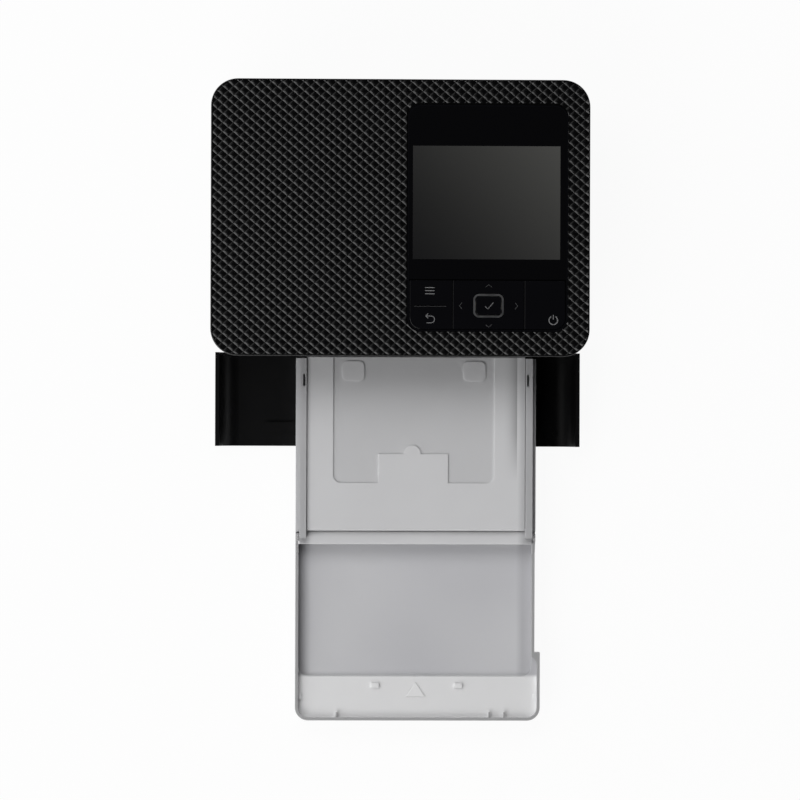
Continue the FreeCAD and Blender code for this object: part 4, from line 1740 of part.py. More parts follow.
def make_ink_door():
    """The door in the right wall, with stiffening ribs and hinge knuckles at its foot."""
    front = DOOR_FRONT_Y + SEAT_GAP
    rear = DOOR_REAR_Y - SEAT_GAP
    top = SEAM_Z - DOOR_TOP_GAP
    inner = HOUSE_X - DOOR_THICKNESS
    low = DOOR_HINGE_Z + DOOR_KNUCKLE_RADIUS / 2
    plate = plate_yz(inner, HOUSE_X, front, rear, low, top, PLATE_CORNER_RADIUS)
    skirt = block(inner, HOUSE_X, front, rear, DOOR_HINGE_Z, low + PLATE_CORNER_RADIUS)
    parts = [plate, skirt]
    middle = (front + rear) / 2
    reach = (rear - front) / 2 - DOOR_KNUCKLE_WIDTH
    cuts = []
    for side in (-1, 1):
        y = middle + side * reach
        half = DOOR_KNUCKLE_WIDTH / 2
        parts.append(rod_y(y - half, y + half, DOOR_HINGE_X, DOOR_HINGE_Z, DOOR_KNUCKLE_RADIUS))
    for index in range(3):
        z = low + (top - low) * (index + 1) / 4
        parts.append(block(inner - DOOR_RIB, inner + DOOR_RIB / 2, front + DOOR_KNUCKLE_WIDTH,
                           rear - DOOR_KNUCKLE_WIDTH, z - DOOR_RIB / 2, z + DOOR_RIB / 2))
    cuts.append(rod_y(front - CUT_OVERRUN, rear + CUT_OVERRUN, DOOR_HINGE_X, DOOR_HINGE_Z,
                      DOOR_PIN_RADIUS + RUNNING_FIT))
    return without(joined(parts), cuts)


def make_hinge_pins():
    """The pins of the front cover, and the long pin of the ink door."""
    return make_front_cover_pins() + [ink_door_pin()]


def ink_door_pin():
    """The long pin of the ink door."""
    return rod_y(DOOR_FRONT_Y - WALL / 2, DOOR_REAR_Y + WALL / 2, DOOR_HINGE_X, DOOR_HINGE_Z,
                 DOOR_PIN_RADIUS)


def make_cartridge_lever():
    """The lever inside the ink door that lets the cartridge go."""
    x0 = RIGHT_PLATE_X + PLATE_THICKNESS + LEVER_GAP + BUSH_FLANGE_THICKNESS
    x1 = x0 + LEVER_THICKNESS
    hub = rod_x(x0, x1, LEVER_PIVOT_Y, LEVER_PIVOT_Z, LEVER_HUB_RADIUS)
    arm = block(x0, x1, LEVER_PIVOT_Y - LEVER_WIDTH / 2, LEVER_PIVOT_Y + LEVER_WIDTH / 2,
                LEVER_PIVOT_Z - LEVER_LENGTH / 2, LEVER_PIVOT_Z)
    pad = rod_x(x0, x1 + LEVER_THICKNESS, LEVER_PIVOT_Y, LEVER_PIVOT_Z - LEVER_LENGTH / 2,
                LEVER_WIDTH / 2)
    bore = rod_x(x0 - CUT_OVERRUN, x1 + CUT_OVERRUN, LEVER_PIVOT_Y, LEVER_PIVOT_Z,
                 LEVER_PIN_RADIUS + RUNNING_FIT)
    return joined([hub, arm, pad]).cut(bore)


# Control panel

def screen_opening(margin, z0, z1):
    """A block over the screen, larger by a margin."""
    return block(SCREEN_LEFT_X - margin, SCREEN_LEFT_X + SCREEN_WIDTH + margin,
                 SCREEN_FRONT_Y - margin, SCREEN_BACK_Y + margin, z0, z1)


def make_panel_frame():
    """The frame set into the top cover: rim, flange under the skin, floor with openings."""
    gap = RUNNING_FIT
    outer = rounded_plate(PANEL_LEFT_X + gap, PANEL_RIGHT_X - gap, PANEL_FRONT_Y + gap,
                          PANEL_BACK_Y - gap, PANEL_BOTTOM_Z, PANEL_TOP_Z, PANEL_RADIUS - gap)
    under = BODY_HEIGHT - WALL
    flange = rounded_plate(PANEL_LEFT_X - PANEL_FLANGE, PANEL_RIGHT_X + PANEL_FLANGE,
                           PANEL_FRONT_Y - PANEL_FLANGE, PANEL_BACK_Y + PANEL_FLANGE,
                           under - PANEL_FLANGE_THICKNESS, under, PANEL_RADIUS + PANEL_FLANGE)
    flange = without(flange, [rod_z(0, BODY_HEIGHT, x, y, BOSS_RADIUS + SIDE_GAP)
                              for x, y in boss_places()])
    body = joined([outer, flange])
    room = rounded_plate(PANEL_LEFT_X + PANEL_RIM, PANEL_RIGHT_X - PANEL_RIM,
                         PANEL_FRONT_Y + PANEL_RIM, PANEL_BACK_Y - PANEL_RIM,
                         PANEL_BOTTOM_Z + PANEL_FLOOR_THICKNESS, PANEL_TOP_Z + CUT_OVERRUN,
                         PANEL_RADIUS - PANEL_RIM)
    shelf = block(PANEL_LEFT_X + PANEL_RIM, PANEL_RIGHT_X - PANEL_RIM, KEY_LINE_Y + KEY_GAP,
                  PANEL_BACK_Y - PANEL_RIM, PANEL_BOTTOM_Z, LENS_UNDER_Z - RUNNING_FIT)
    shelf = shelf.common(room)
    body = joined([body.cut(room), shelf])
    cuts = [screen_opening(LCD_MARGIN + LCD_WINDOW_GAP, PANEL_BOTTOM_Z - CUT_OVERRUN, PANEL_TOP_Z)]
    for x, y in stem_places():
        cuts.append(rod_z(PANEL_BOTTOM_Z - CUT_OVERRUN, PANEL_TOP_Z, x, y,
                          KEY_STEM_RADIUS + SEAT_GAP))
    cuts.append(rod_z(PANEL_BOTTOM_Z - CUT_OVERRUN, PANEL_TOP_Z, PAD_CENTRE_X, PAD_CENTRE_Y,
                      GIMBAL_RADIUS + GIMBAL_PIN_LENGTH + SEAT_GAP))
    parts = [without(body, cuts)]
    for side in (-1, 1):
        parts.append(frame_lug(side))
    for y in (rocker_axle_y(),):
        parts.append(rocker_bearing(y))
    return joined(parts)


def stem_places():
    """Where the keys' stems go through the frame: rocker, pad and power key."""
    rocker_x = (KEY_LEFT_X + ROCKER_SPLIT_X) / 2
    spread = (KEY_BACK_Y - KEY_FRONT_Y) / 3
    places = [(rocker_x, PAD_CENTRE_Y - spread), (rocker_x, PAD_CENTRE_Y + spread)]
    power_x = (POWER_SPLIT_X + KEY_RIGHT_X) / 2
    places.append((power_x, PAD_CENTRE_Y))
    reach_x = (POWER_SPLIT_X - ROCKER_SPLIT_X) / 2 - KEY_STEM_RADIUS * 2.5
    places += [(PAD_CENTRE_X - reach_x, PAD_CENTRE_Y), (PAD_CENTRE_X + reach_x, PAD_CENTRE_Y)]
    return places


def pad_stem_places():
    """Where the pad's own stems stand."""
    return stem_places()[3:]


def pad_axle_z():
    """The height of the pad's two tilt axes."""
    return KEY_UNDER_Z - PAD_AXLE_DROP + GIMBAL_THICKNESS


def frame_lug(side):
    """A lug of the frame that holds the gimbal's fore-and-aft pin."""
    y = PAD_CENTRE_Y + side * (GIMBAL_RADIUS + SIDE_GAP)
    far = PAD_CENTRE_Y + side * (GIMBAL_RADIUS + GIMBAL_PIN_LENGTH + SEAT_GAP * 2)
    z = pad_axle_z()
    half = PAD_LUG_WIDTH
    lug = block(PAD_CENTRE_X - half, PAD_CENTRE_X + half, min(y, far), max(y, far),
                PANEL_BOTTOM_Z, z + PAD_AXLE_RADIUS * 1.6)
    bore = rod_y(min(y, far) - CUT_OVERRUN, max(y, far) + CUT_OVERRUN, PAD_CENTRE_X, z,
                 PAD_AXLE_RADIUS + RUNNING_FIT)
    return lug.cut(bore)


def rocker_axle_y():
    """The rocker key tilts about the middle of its depth."""
    return PAD_CENTRE_Y


def rocker_axle_z():
    """The rocker's axle lies in a saddle on the frame's floor."""
    return PANEL_BOTTOM_Z + PANEL_FLOOR_THICKNESS + ROCKER_AXLE_RADIUS + RUNNING_FIT


def rocker_bearing(y):
    """Two cheeks on the frame's floor that hold the rocker's axle."""
    cheeks = []
    z = rocker_axle_z()
    for share in ROCKER_CHEEK_SHARES:
        x = KEY_LEFT_X + share * (ROCKER_SPLIT_X - KEY_LEFT_X)
        half = PAD_LUG_WIDTH / 2
        cheek = block(x - half, x + half, y - ROCKER_AXLE_RADIUS * 2, y + ROCKER_AXLE_RADIUS * 2,
                      PANEL_BOTTOM_Z + PANEL_FLOOR_THICKNESS / 2, z)
        cheeks.append(cheek.cut(rod_x(x - half, x + half, y, z,
                                      ROCKER_AXLE_RADIUS + RUNNING_FIT)))
    return Part.makeCompound(cheeks)


def make_lens():
    """The dark glossy window over the screen, with round corners at the back."""
    gap = RUNNING_FIT
    full = rounded_plate(PANEL_LEFT_X + PANEL_RIM + gap, PANEL_RIGHT_X - PANEL_RIM - gap,
                         PANEL_FRONT_Y + PANEL_RIM, PANEL_BACK_Y - PANEL_RIM - gap,
                         LENS_UNDER_Z, PANEL_TOP_Z, PANEL_RADIUS - PANEL_RIM - gap)
    front = block(PANEL_LEFT_X, PANEL_RIGHT_X, PANEL_FRONT_Y, KEY_LINE_Y + KEY_GAP / 2, 0,
                  BODY_HEIGHT + CUT_OVERRUN)
    return full.cut(front)


def make_lcd_module():
    """The screen itself: a glass sandwich in a thin metal tray."""
    top = LCD_TOP_Z
    tray = screen_opening(LCD_MARGIN, top - LCD_THICKNESS, top - LCD_WINDOW_GAP)
    glass = screen_opening(LCD_WINDOW_GAP, top - LCD_WINDOW_GAP * 2, top)
    return joined([tray, glass])


def key_blank(x0, x1, y0, y1):
    """A flat key cap with softened top edges."""
    cap = block(x0, x1, y0, y1, KEY_UNDER_Z, KEY_TOP_Z)
    return cap.makeFillet(KEY_EDGE_ROUND, edges_at(cap, KEY_TOP_Z))


def corner_key(x0, x1, round_left):
    """A key cap with one round front corner that follows the panel's rim."""
    radius = PANEL_RADIUS - PANEL_RIM - KEY_GAP
    if round_left:
        blank = rounded_plate(x0, x1 + radius, KEY_FRONT_Y, KEY_BACK_Y + radius, KEY_UNDER_Z,
                              KEY_TOP_Z, radius)
    else:
        blank = rounded_plate(x0 - radius, x1, KEY_FRONT_Y, KEY_BACK_Y + radius, KEY_UNDER_Z,
                              KEY_TOP_Z, radius)
    cap = blank.common(block(x0, x1, KEY_FRONT_Y, KEY_BACK_Y, 0, BODY_HEIGHT))
    return cap.makeFillet(KEY_EDGE_ROUND, edges_at(cap, KEY_TOP_Z))


def make_rocker_key():
    """The left key, one plate that rocks back and forth for two functions."""
    x0 = KEY_LEFT_X
    x1 = ROCKER_SPLIT_X - KEY_GAP / 2
    cap = corner_key(x0, x1, True)
    slit_left = SCREEN_LEFT_X
    slit = block(slit_left, slit_left + ROCKER_SLIT_LENGTH, PAD_CENTRE_Y - ROCKER_SLIT_WIDTH / 2,
                 PAD_CENTRE_Y + ROCKER_SLIT_WIDTH / 2, KEY_TOP_Z - KEY_LIP, BODY_HEIGHT)
    parts = [cap.cut(slit)]
    for x, y in stem_places()[:2]:
        parts.append(rod_z(STEM_BOTTOM_Z, KEY_UNDER_Z, x, y, KEY_STEM_RADIUS))
    z = rocker_axle_z()
    left = x0 + (x1 - x0) * ROCKER_CHEEK_SHARES[0] - PAD_LUG_WIDTH
    right = x0 + (x1 - x0) * ROCKER_CHEEK_SHARES[1] + PAD_LUG_WIDTH
    parts.append(rod_x(left, right, rocker_axle_y(), z, ROCKER_AXLE_RADIUS))
    middle = (left + right) / 2
    parts.append(block(middle - KEY_STEM_RADIUS, middle + KEY_STEM_RADIUS,
                       rocker_axle_y() - ROCKER_AXLE_RADIUS / 2,
                       rocker_axle_y() + ROCKER_AXLE_RADIUS / 2, z, KEY_UNDER_Z + KEY_LIP / 2))
    return joined(parts)


def make_power_key():
    """The right key, which moves straight down."""
    cap = corner_key(POWER_SPLIT_X + KEY_GAP / 2, KEY_RIGHT_X, False)
    x, y = stem_places()[2]
    return joined([cap, rod_z(STEM_BOTTOM_Z, KEY_UNDER_Z, x, y, KEY_STEM_RADIUS)])


def centre_hole(gap, z0, z1):
    """The rounded hole or block of the centre key, larger by a gap."""
    half_x = CENTRE_KEY_WIDTH / 2 + gap
    half_y = CENTRE_KEY_DEPTH / 2 + gap
    return rounded_plate(PAD_CENTRE_X - half_x, PAD_CENTRE_X + half_x, PAD_CENTRE_Y - half_y,
                         PAD_CENTRE_Y + half_y, z0, z1, CENTRE_KEY_RADIUS + gap)


def make_pad():
    """The four-way pad, a plate that tilts on the gimbal, with a hole for the centre key."""
    x0 = ROCKER_SPLIT_X + KEY_GAP / 2
    x1 = POWER_SPLIT_X - KEY_GAP / 2
    cap = key_blank(x0, x1, KEY_FRONT_Y, KEY_BACK_Y)
    parts = [cap]
    for x, y in pad_stem_places():
        parts.append(rod_z(STEM_BOTTOM_Z, KEY_UNDER_Z, x, y, KEY_STEM_RADIUS))
    z = pad_axle_z()
    for side in (-1, 1):
        near = PAD_CENTRE_X + side * (GIMBAL_RADIUS + SIDE_GAP)
        far = near + side * GIMBAL_PIN_LENGTH
        lug = block(min(near, far), max(near, far), PAD_CENTRE_Y - PAD_LUG_WIDTH,
                    PAD_CENTRE_Y + PAD_LUG_WIDTH, z - PAD_AXLE_RADIUS * 1.6, KEY_UNDER_Z)
        parts.append(lug)
    whole = joined(parts)
    bore = rod_x(PAD_CENTRE_X - GIMBAL_RADIUS * 2, PAD_CENTRE_X + GIMBAL_RADIUS * 2, PAD_CENTRE_Y,
                 z, PAD_AXLE_RADIUS + RUNNING_FIT)
    return without(whole, [centre_hole(KEY_GAP, 0, BODY_HEIGHT), bore])


def make_centre_ring():
    """The bright ring round the centre key, set on the pad."""
    low = KEY_TOP_Z
    high = KEY_TOP_Z + CENTRE_RING_HEIGHT
    outer = centre_hole(KEY_GAP + CENTRE_RING_WIDTH, low, high)
    return outer.cut(centre_hole(KEY_GAP, low - CUT_OVERRUN, high + CUT_OVERRUN))


def make_gimbal():
    """The small ring between frame and pad, with two pins each way."""
    z = pad_axle_z()
    low = z - GIMBAL_THICKNESS / 2
    ring = rod_z(low, low + GIMBAL_THICKNESS, PAD_CENTRE_X, PAD_CENTRE_Y, GIMBAL_RADIUS)
    reach = GIMBAL_RADIUS + GIMBAL_PIN_LENGTH
    pins = [rod_x(PAD_CENTRE_X - reach, PAD_CENTRE_X + reach, PAD_CENTRE_Y, z, PAD_AXLE_RADIUS),
            rod_y(PAD_CENTRE_Y - reach, PAD_CENTRE_Y + reach, PAD_CENTRE_X, z, PAD_AXLE_RADIUS)]
    bore = rod_z(0, BODY_HEIGHT, PAD_CENTRE_X, PAD_CENTRE_Y, GIMBAL_BORE_RADIUS)
    return joined([ring] + pins).cut(bore)


def make_centre_key():
    """The centre key, with its stem down through the gimbal."""
    cap = centre_hole(0, KEY_UNDER_Z, KEY_TOP_Z)
    cap = cap.makeFillet(KEY_EDGE_ROUND, edges_at(cap, KEY_TOP_Z))
    stem = rod_z(STEM_BOTTOM_Z, KEY_UNDER_Z, PAD_CENTRE_X, PAD_CENTRE_Y, CENTRE_STEM_RADIUS)
    return joined([cap, stem])


def make_key_board():
    """The circuit board under the keys."""
    return block(KEY_LEFT_X, KEY_RIGHT_X, KEY_FRONT_Y, KEY_BACK_Y,
                 KEY_BOARD_TOP_Z - KEY_BOARD_THICKNESS, KEY_BOARD_TOP_Z)


def make_keypad_membrane():
    """The rubber sheet on the key board with a dome under every stem."""
    sheet = block(KEY_LEFT_X + WALL, KEY_RIGHT_X - WALL, KEY_FRONT_Y + WALL / 2,
                  KEY_BACK_Y - WALL / 2, KEY_BOARD_TOP_Z, MEMBRANE_TOP_Z)
    places = stem_places() + [(PAD_CENTRE_X, PAD_CENTRE_Y)]
    domes = [rod_z(MEMBRANE_TOP_Z - MEMBRANE_THICKNESS / 2, MEMBRANE_TOP_Z + DOME_HEIGHT, x, y,
                   DOME_RADIUS) for x, y in places]
    return joined([sheet] + domes)


# Boards and connectors

def make_main_board():
    """The upright main board in the left bay, with its chips and capacitors."""
    x1 = GEAR_PLATE_X - MAIN_BOARD_GAP
    x0 = x1 - BOARD_THICKNESS
    board = block(x0, x1, MAIN_BOARD_FRONT_Y, MAIN_BOARD_REAR_Y, MAIN_BOARD_BOTTOM_Z,
                  MAIN_BOARD_TOP_Z)
    parts = [board]
    depth = MAIN_BOARD_REAR_Y - MAIN_BOARD_FRONT_Y
    height = MAIN_BOARD_TOP_Z - MAIN_BOARD_BOTTOM_Z
    for share_y, share_z in CHIP_SHARES:
        y = MAIN_BOARD_FRONT_Y + share_y * depth
        z = MAIN_BOARD_BOTTOM_Z + share_z * height
        parts.append(block(x0 - CHIP_THICKNESS, x0, y - CHIP_SIZE / 2, y + CHIP_SIZE / 2,
                           z - CHIP_SIZE / 2, z + CHIP_SIZE / 2))
    for share_y, share_z in CAPACITOR_SHARES:
        y = MAIN_BOARD_FRONT_Y + share_y * depth
        z = MAIN_BOARD_BOTTOM_Z + share_z * height
        parts.append(rod_x(x0 - CAPACITOR_HEIGHT, x0, y, z, CAPACITOR_RADIUS))
    for share_y in BOARD_FOOT_SHARES:
        y = MAIN_BOARD_FRONT_Y + share_y * depth
        parts.append(block(x0, x1, y - CHIP_SIZE / 4, y + CHIP_SIZE / 4, FLOOR_TOP,
                           MAIN_BOARD_BOTTOM_Z))
    return joined(parts)


def make_io_board():
    """The small level board behind the card slot."""
    left = RIGHT_PLATE_X + PLATE_THICKNESS + BUSH_FLANGE_THICKNESS + IO_BOARD_LEFT_GAP
    return block(left, INNER_X - SIDE_GAP, IO_BOARD_FRONT_Y, IO_BOARD_REAR_Y, IO_BOARD_Z,
                 IO_BOARD_Z + BOARD_THICKNESS)


def make_card_slot():
    """The thin metal shell that a memory card slides into."""
    y = card_centre_y()
    half = CARD_SLOT_WIDTH / 2 - SIDE_GAP
    low = IO_BOARD_Z + BOARD_THICKNESS
    high = low + CARD_MOUTH_HEIGHT + CARD_SHELL * 2
    right = HOUSE_X - HOUSING_INSET
    shell = block(right - CARD_SLOT_DEPTH, right, y - half, y + half, low, high)
    room = block(right - CARD_SLOT_DEPTH + CARD_SHELL, right + CUT_OVERRUN,
                 y - half + CARD_SHELL, y + half - CARD_SHELL, low + CARD_SHELL,
                 high - CARD_SHELL)
    return shell.cut(room)


def make_usb_port():
    """The small plug socket under the board, with its tongue."""
    y = card_centre_y()
    high = IO_BOARD_Z - SIDE_GAP / 2
    low = high - USB_HEIGHT
    right = HOUSE_X - HOUSING_INSET
    radius = USB_HEIGHT / 2 - RUNNING_FIT
    outer = plate_yz(right - USB_DEPTH, right, y - USB_WIDTH / 2, y + USB_WIDTH / 2, low, high,
                     radius)
    inner = plate_yz(right - USB_DEPTH + USB_SHELL, right + CUT_OVERRUN,
                     y - USB_WIDTH / 2 + USB_SHELL, y + USB_WIDTH / 2 - USB_SHELL,
                     low + USB_SHELL, high - USB_SHELL, radius - USB_SHELL)
    middle = (low + high) / 2
    tongue = block(right - USB_DEPTH, right - USB_SHELL * 3, y - USB_WIDTH / 4,
                   y + USB_WIDTH / 4, middle - USB_TONGUE / 2, middle + USB_TONGUE / 2)
    return joined([outer.cut(inner), tongue])


def make_power_inlet():
    """The round power inlet at the back, with its centre pin."""
    rear = INNER_Y
    x0 = JACK_CENTRE_X - JACK_WIDTH / 2
    z0 = JACK_CENTRE_Z - JACK_HEIGHT / 2
    body = block(x0, x0 + JACK_WIDTH, rear - JACK_DEPTH, rear, z0, z0 + JACK_HEIGHT)
    nose = rod_y(rear - WALL, rear + WALL / 2, JACK_CENTRE_X, JACK_CENTRE_Z,
                 JACK_BORE_RADIUS + WALL / 2 - RUNNING_FIT)
    stand = block(x0, x0 + JACK_WIDTH, rear - JACK_DEPTH, rear - WALL / 2, FLOOR_TOP, z0)
    bore = rod_y(rear - JACK_BORE_DEPTH, rear + WALL, JACK_CENTRE_X, JACK_CENTRE_Z,
                 JACK_BORE_RADIUS)
    pin = rod_y(rear - JACK_BORE_DEPTH - CUT_OVERRUN, rear - CUT_OVERRUN, JACK_CENTRE_X,
                JACK_CENTRE_Z, JACK_PIN_RADIUS)
    return joined([joined([body, nose, stand]).cut(bore), pin])


# Everything, moved so that the origin lies under the middle of the whole object

ORIGIN_SHIFT = Vector(0, -(HALF_D + OUTER_LID_END_Y) / 2, 0)


def save(name, solids):
    """Write one piece, or a group of like solids, to its own file."""
    if not isinstance(solids, (list, tuple)):
        solids = [solids]
    single = []
    for solid in solids:
        single += solid.Solids
    shape = single[0] if len(single) == 1 else Part.makeCompound(single)
    shape = shape.translated(ORIGIN_SHIFT)
    shape.exportStep("parts/" + name + ".step")
    print(name, len(single), "solid(s)", round(shape.Volume), "mm3")


def build():
    """Make and save every piece."""
    phases = gear_phases()
    save("lower_housing", make_lower_housing())
    save("top_cover", make_top_cover())
    save("front_bezel", make_front_bezel())
    save("rubber_feet", make_rubber_feet())
    save("case_screws", make_case_screws())
    save("front_cover", make_front_cover())
    save("cassette_tray", make_cassette_tray())
    save("lift_plate", make_lift_plate())
    save("cassette_inner_lid", make_inner_lid())
    save("cassette_outer_lid", make_outer_lid())
    save("left_side_plate", make_left_side_plate())
    save("right_side_plate", make_right_side_plate())
    save("chassis_bridge", make_chassis_bridge())
    save("paper_guides", make_paper_guides())
    save("shaft_bushes", make_shaft_bushes())
    save("capstan_roller", make_capstan_roller())
    save("pinch_roller", full_roller(CAPSTAN_Y, PINCH_Z, PINCH_RADIUS, False))
    save("platen_roller", full_roller(PLATEN_Y, PLATEN_Z, PLATEN_RADIUS, False))
    save("pick_roller", make_pick_roller())
    save("pick_tyres", make_pick_tyres())
    save("eject_roller", make_eject_roller())
    save("eject_pinch_roller", tyred_roller(EJECT_Y, PINCH_Z, PINCH_RADIUS))
    for index, name in enumerate(("a", "b", "c", "d")):
        save("idler_gear_" + name, make_idler_gear(index, name))
    save("gear_plate", make_gear_plate())
    save("feed_motor", motor(feed_pinion_place(), FEED_MOTOR_RADIUS, FEED_MOTOR_LENGTH))
    save("feed_pinion", motor_pinion(feed_pinion_place(), phases["pinion"]))
    save("ribbon_motor", motor(ribbon_pinion_place(), RIBBON_MOTOR_RADIUS, RIBBON_MOTOR_LENGTH))
    ribbon_phase = meshed_phase((TAKEUP_Y, TUBE_Z), SPINDLE_TEETH, spindle_phase(),
                                ribbon_pinion_place(), PINION_TEETH)
    save("ribbon_pinion", motor_pinion(ribbon_pinion_place(), ribbon_phase))
    save("takeup_spindle", make_takeup_spindle())
    save("fan_housing", make_fan_housing())
    save("fan_rotor", make_fan_rotor())
    save("cartridge_case", make_cartridge_case())
    save("supply_spool", make_supply_spool())
    save("takeup_spool", make_takeup_spool())
    save("ink_ribbon", make_ink_ribbon())
    save("thermal_head", make_thermal_head())
    save("heat_sink", make_heat_sink())
    save("head_cam", make_head_cam())
    save("ink_door", make_ink_door())
    save("hinge_pins", make_hinge_pins())
    save("cartridge_lever", make_cartridge_lever())
    save("panel_frame", make_panel_frame())
    save("panel_lens", make_lens())
    save("lcd_module", make_lcd_module())
    save("rocker_key", make_rocker_key())
    save("pad_key", make_pad())
    save("pad_gimbal", make_gimbal())
    save("centre_ring", make_centre_ring())
    save("centre_key", make_centre_key())
    save("power_key", make_power_key())
    save("key_board", make_key_board())
    save("keypad_membrane", make_keypad_membrane())
    save("main_board", make_main_board())
    save("io_board", make_io_board())
    save("card_slot", make_card_slot())
    save("usb_port", make_usb_port())
    save("power_inlet", make_power_inlet())


os.makedirs("parts", exist_ok=True)
build()
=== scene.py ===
# %% [markdown]
# # A compact photo printer, dressed for its picture
# The moulded shells, the cassette, the keys and the works inside come from the CAD
# model as solids in metres. This lesson gives each of them the finish of the real
# material, and models what is too fine for the solids: the relief of low cushions on
# the cover, the printed signs on the keys and the mark on the cassette's outer lid.

# %% Load the CAD model
import math

import bpy
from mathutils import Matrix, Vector


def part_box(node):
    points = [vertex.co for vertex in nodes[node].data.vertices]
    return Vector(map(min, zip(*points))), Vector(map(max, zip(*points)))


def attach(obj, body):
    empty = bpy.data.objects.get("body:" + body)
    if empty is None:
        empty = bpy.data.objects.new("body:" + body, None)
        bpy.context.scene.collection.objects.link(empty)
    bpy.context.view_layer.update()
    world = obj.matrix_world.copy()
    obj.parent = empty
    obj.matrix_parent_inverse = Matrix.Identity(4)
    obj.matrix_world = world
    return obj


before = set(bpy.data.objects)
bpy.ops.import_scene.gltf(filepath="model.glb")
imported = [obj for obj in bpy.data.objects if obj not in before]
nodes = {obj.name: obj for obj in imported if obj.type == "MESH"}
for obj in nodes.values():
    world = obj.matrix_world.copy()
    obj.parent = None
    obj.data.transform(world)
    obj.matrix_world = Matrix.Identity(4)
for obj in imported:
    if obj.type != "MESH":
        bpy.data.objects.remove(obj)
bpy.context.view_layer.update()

# %% [markdown]
# ## Where the camera stands
# The picture looks almost straight down from far away, so a long lens is used. The
# printer's left wall can be seen a little and its right wall can't, which puts the
# camera left of the middle. The lens is worked out from the picture: the cover is
# 182 mm wide and takes up 380 of 800 pixels.

# %% Place the camera
MM = 0.001
COVER_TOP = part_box("top_cover")[1].z
PICTURE_SIDE = 800
MM_PER_PIXEL = 0.4799
CAMERA_HEIGHT = 1.8
CAMERA_X = -46.2 * MM
MIDDLE_Y = 1.55 * MM
CAMERA_ROLL = math.radians(0.2)
SENSOR_WIDTH = 36
FARTHEST_SEEN = 10

bpy.ops.object.camera_add(location=(CAMERA_X, MIDDLE_Y, COVER_TOP + CAMERA_HEIGHT))
camera = bpy.context.object
look = Vector((0, MIDDLE_Y, COVER_TOP)) - camera.location
camera.rotation_euler = (0, -math.atan2(-CAMERA_X, CAMERA_HEIGHT), CAMERA_ROLL)
camera.data.sensor_width = SENSOR_WIDTH
camera.data.lens = SENSOR_WIDTH * look.length / (PICTURE_SIDE * MM_PER_PIXEL * MM)
camera.data.clip_end = FARTHEST_SEEN
bpy.context.scene.camera = camera
print("lens", round(camera.data.lens, 1), "mm")

# %% [markdown]
# ## A pale table and soft light
# A product picture like this one is lit by large soft lamps. The floor is a plain
# sheet that looks white to the camera but still takes the soft shadow. The far lamp
# stands behind the printer, so the cover's front edge throws its shade on the cassette.
# It is kept out of the mirror images, as a flag in front of a studio lamp does.
# The near left one picks out the near left edge of each diamond in the relief, whose
# right faces stay black.

# %% The floor
FLOOR_SIZE, FLOOR_Z = 8, -0.2 * MM

bpy.ops.mesh.primitive_plane_add(size=FLOOR_SIZE, location=(0, 0, FLOOR_Z))
floor = bpy.context.object
floor.name = "floor"
bpy.ops.object.transform_apply(location=True)
print("floor", FLOOR_SIZE, "m wide")


# %% The lamps
def aimed_lamp(name, place, size, power):
    """A rectangular lamp that points at the middle of the printer."""
    bpy.ops.object.light_add(type="AREA", location=place)
    lamp = bpy.context.object
    lamp.name = name
    lamp.data.shape = "RECTANGLE"
    lamp.data.size, lamp.data.size_y = size
    lamp.data.energy = power
    lamp.rotation_euler = (-Vector(place)).to_track_quat("-Z", "Y").to_euler()
    print(name, power, "W")
    return lamp


far_lamp = aimed_lamp("far_lamp", place=(-0.4, 1.0, 1.6), size=(1.7, 1.1), power=17)
far_lamp.visible_glossy = False
aimed_lamp("near_left_lamp", place=(-0.9, -1.05, 1.15), size=(1.6, 1.1), power=14)

# %% [markdown]
# The room is bright round the horizon, most of all at the left, and dark overhead.
# Glossy black plastic that faces up then mirrors the dark part and stays black, as on
# a table below a dark ceiling, while its rounded edges catch the bright walls.

# %% A room that is dark overhead
world = bpy.data.worlds.new("room")
bpy.context.scene.world = world
world.use_nodes = True
tree = world.node_tree
way = tree.nodes.new("ShaderNodeTexCoord")
parts = tree.nodes.new("ShaderNodeSeparateXYZ")
tree.links.new(way.outputs["Generated"], parts.inputs[0])
UPWARD = ((0.5, 1.0), (0.93, 0.02))
LEFTWARD = ((0.0, 0.04), (0.55, 1.0))


def room_shade(axis, sign, steps):
    """Greys of the room along one direction, as pairs of how far and how bright."""
    along = tree.nodes.new("ShaderNodeMath")
    along.operation = "MULTIPLY"
    along.inputs[1].default_value = sign
    tree.links.new(parts.outputs[axis], along.inputs[0])
    shade = tree.nodes.new("ShaderNodeValToRGB")
    for element, (position, level) in zip(shade.color_ramp.elements, steps):
        element.position = position
        element.color = (level, level, level, 1)
    tree.links.new(along.outputs[0], shade.inputs[0])
    return shade.outputs[0]


both = tree.nodes.new("ShaderNodeVectorMath")
both.operation = "MULTIPLY"
tree.links.new(room_shade("Z", 1, UPWARD), both.inputs[0])
tree.links.new(room_shade("X", -1, LEFTWARD), both.inputs[1])
tree.links.new(both.outputs[0], tree.nodes["Background"].inputs["Color"])
bpy.context.scene.view_settings.view_transform = "Standard"
print("room", UPWARD, LEFTWARD)

# %% [markdown]
# ## A way to write finishes as sums
# A finish is a small graph of nodes. Writing each Math node by hand hides the idea,
# so a socket is wrapped in a class that knows plus, minus and times. An expression
# such as 1 - mask * 0.3 then adds the nodes by itself.

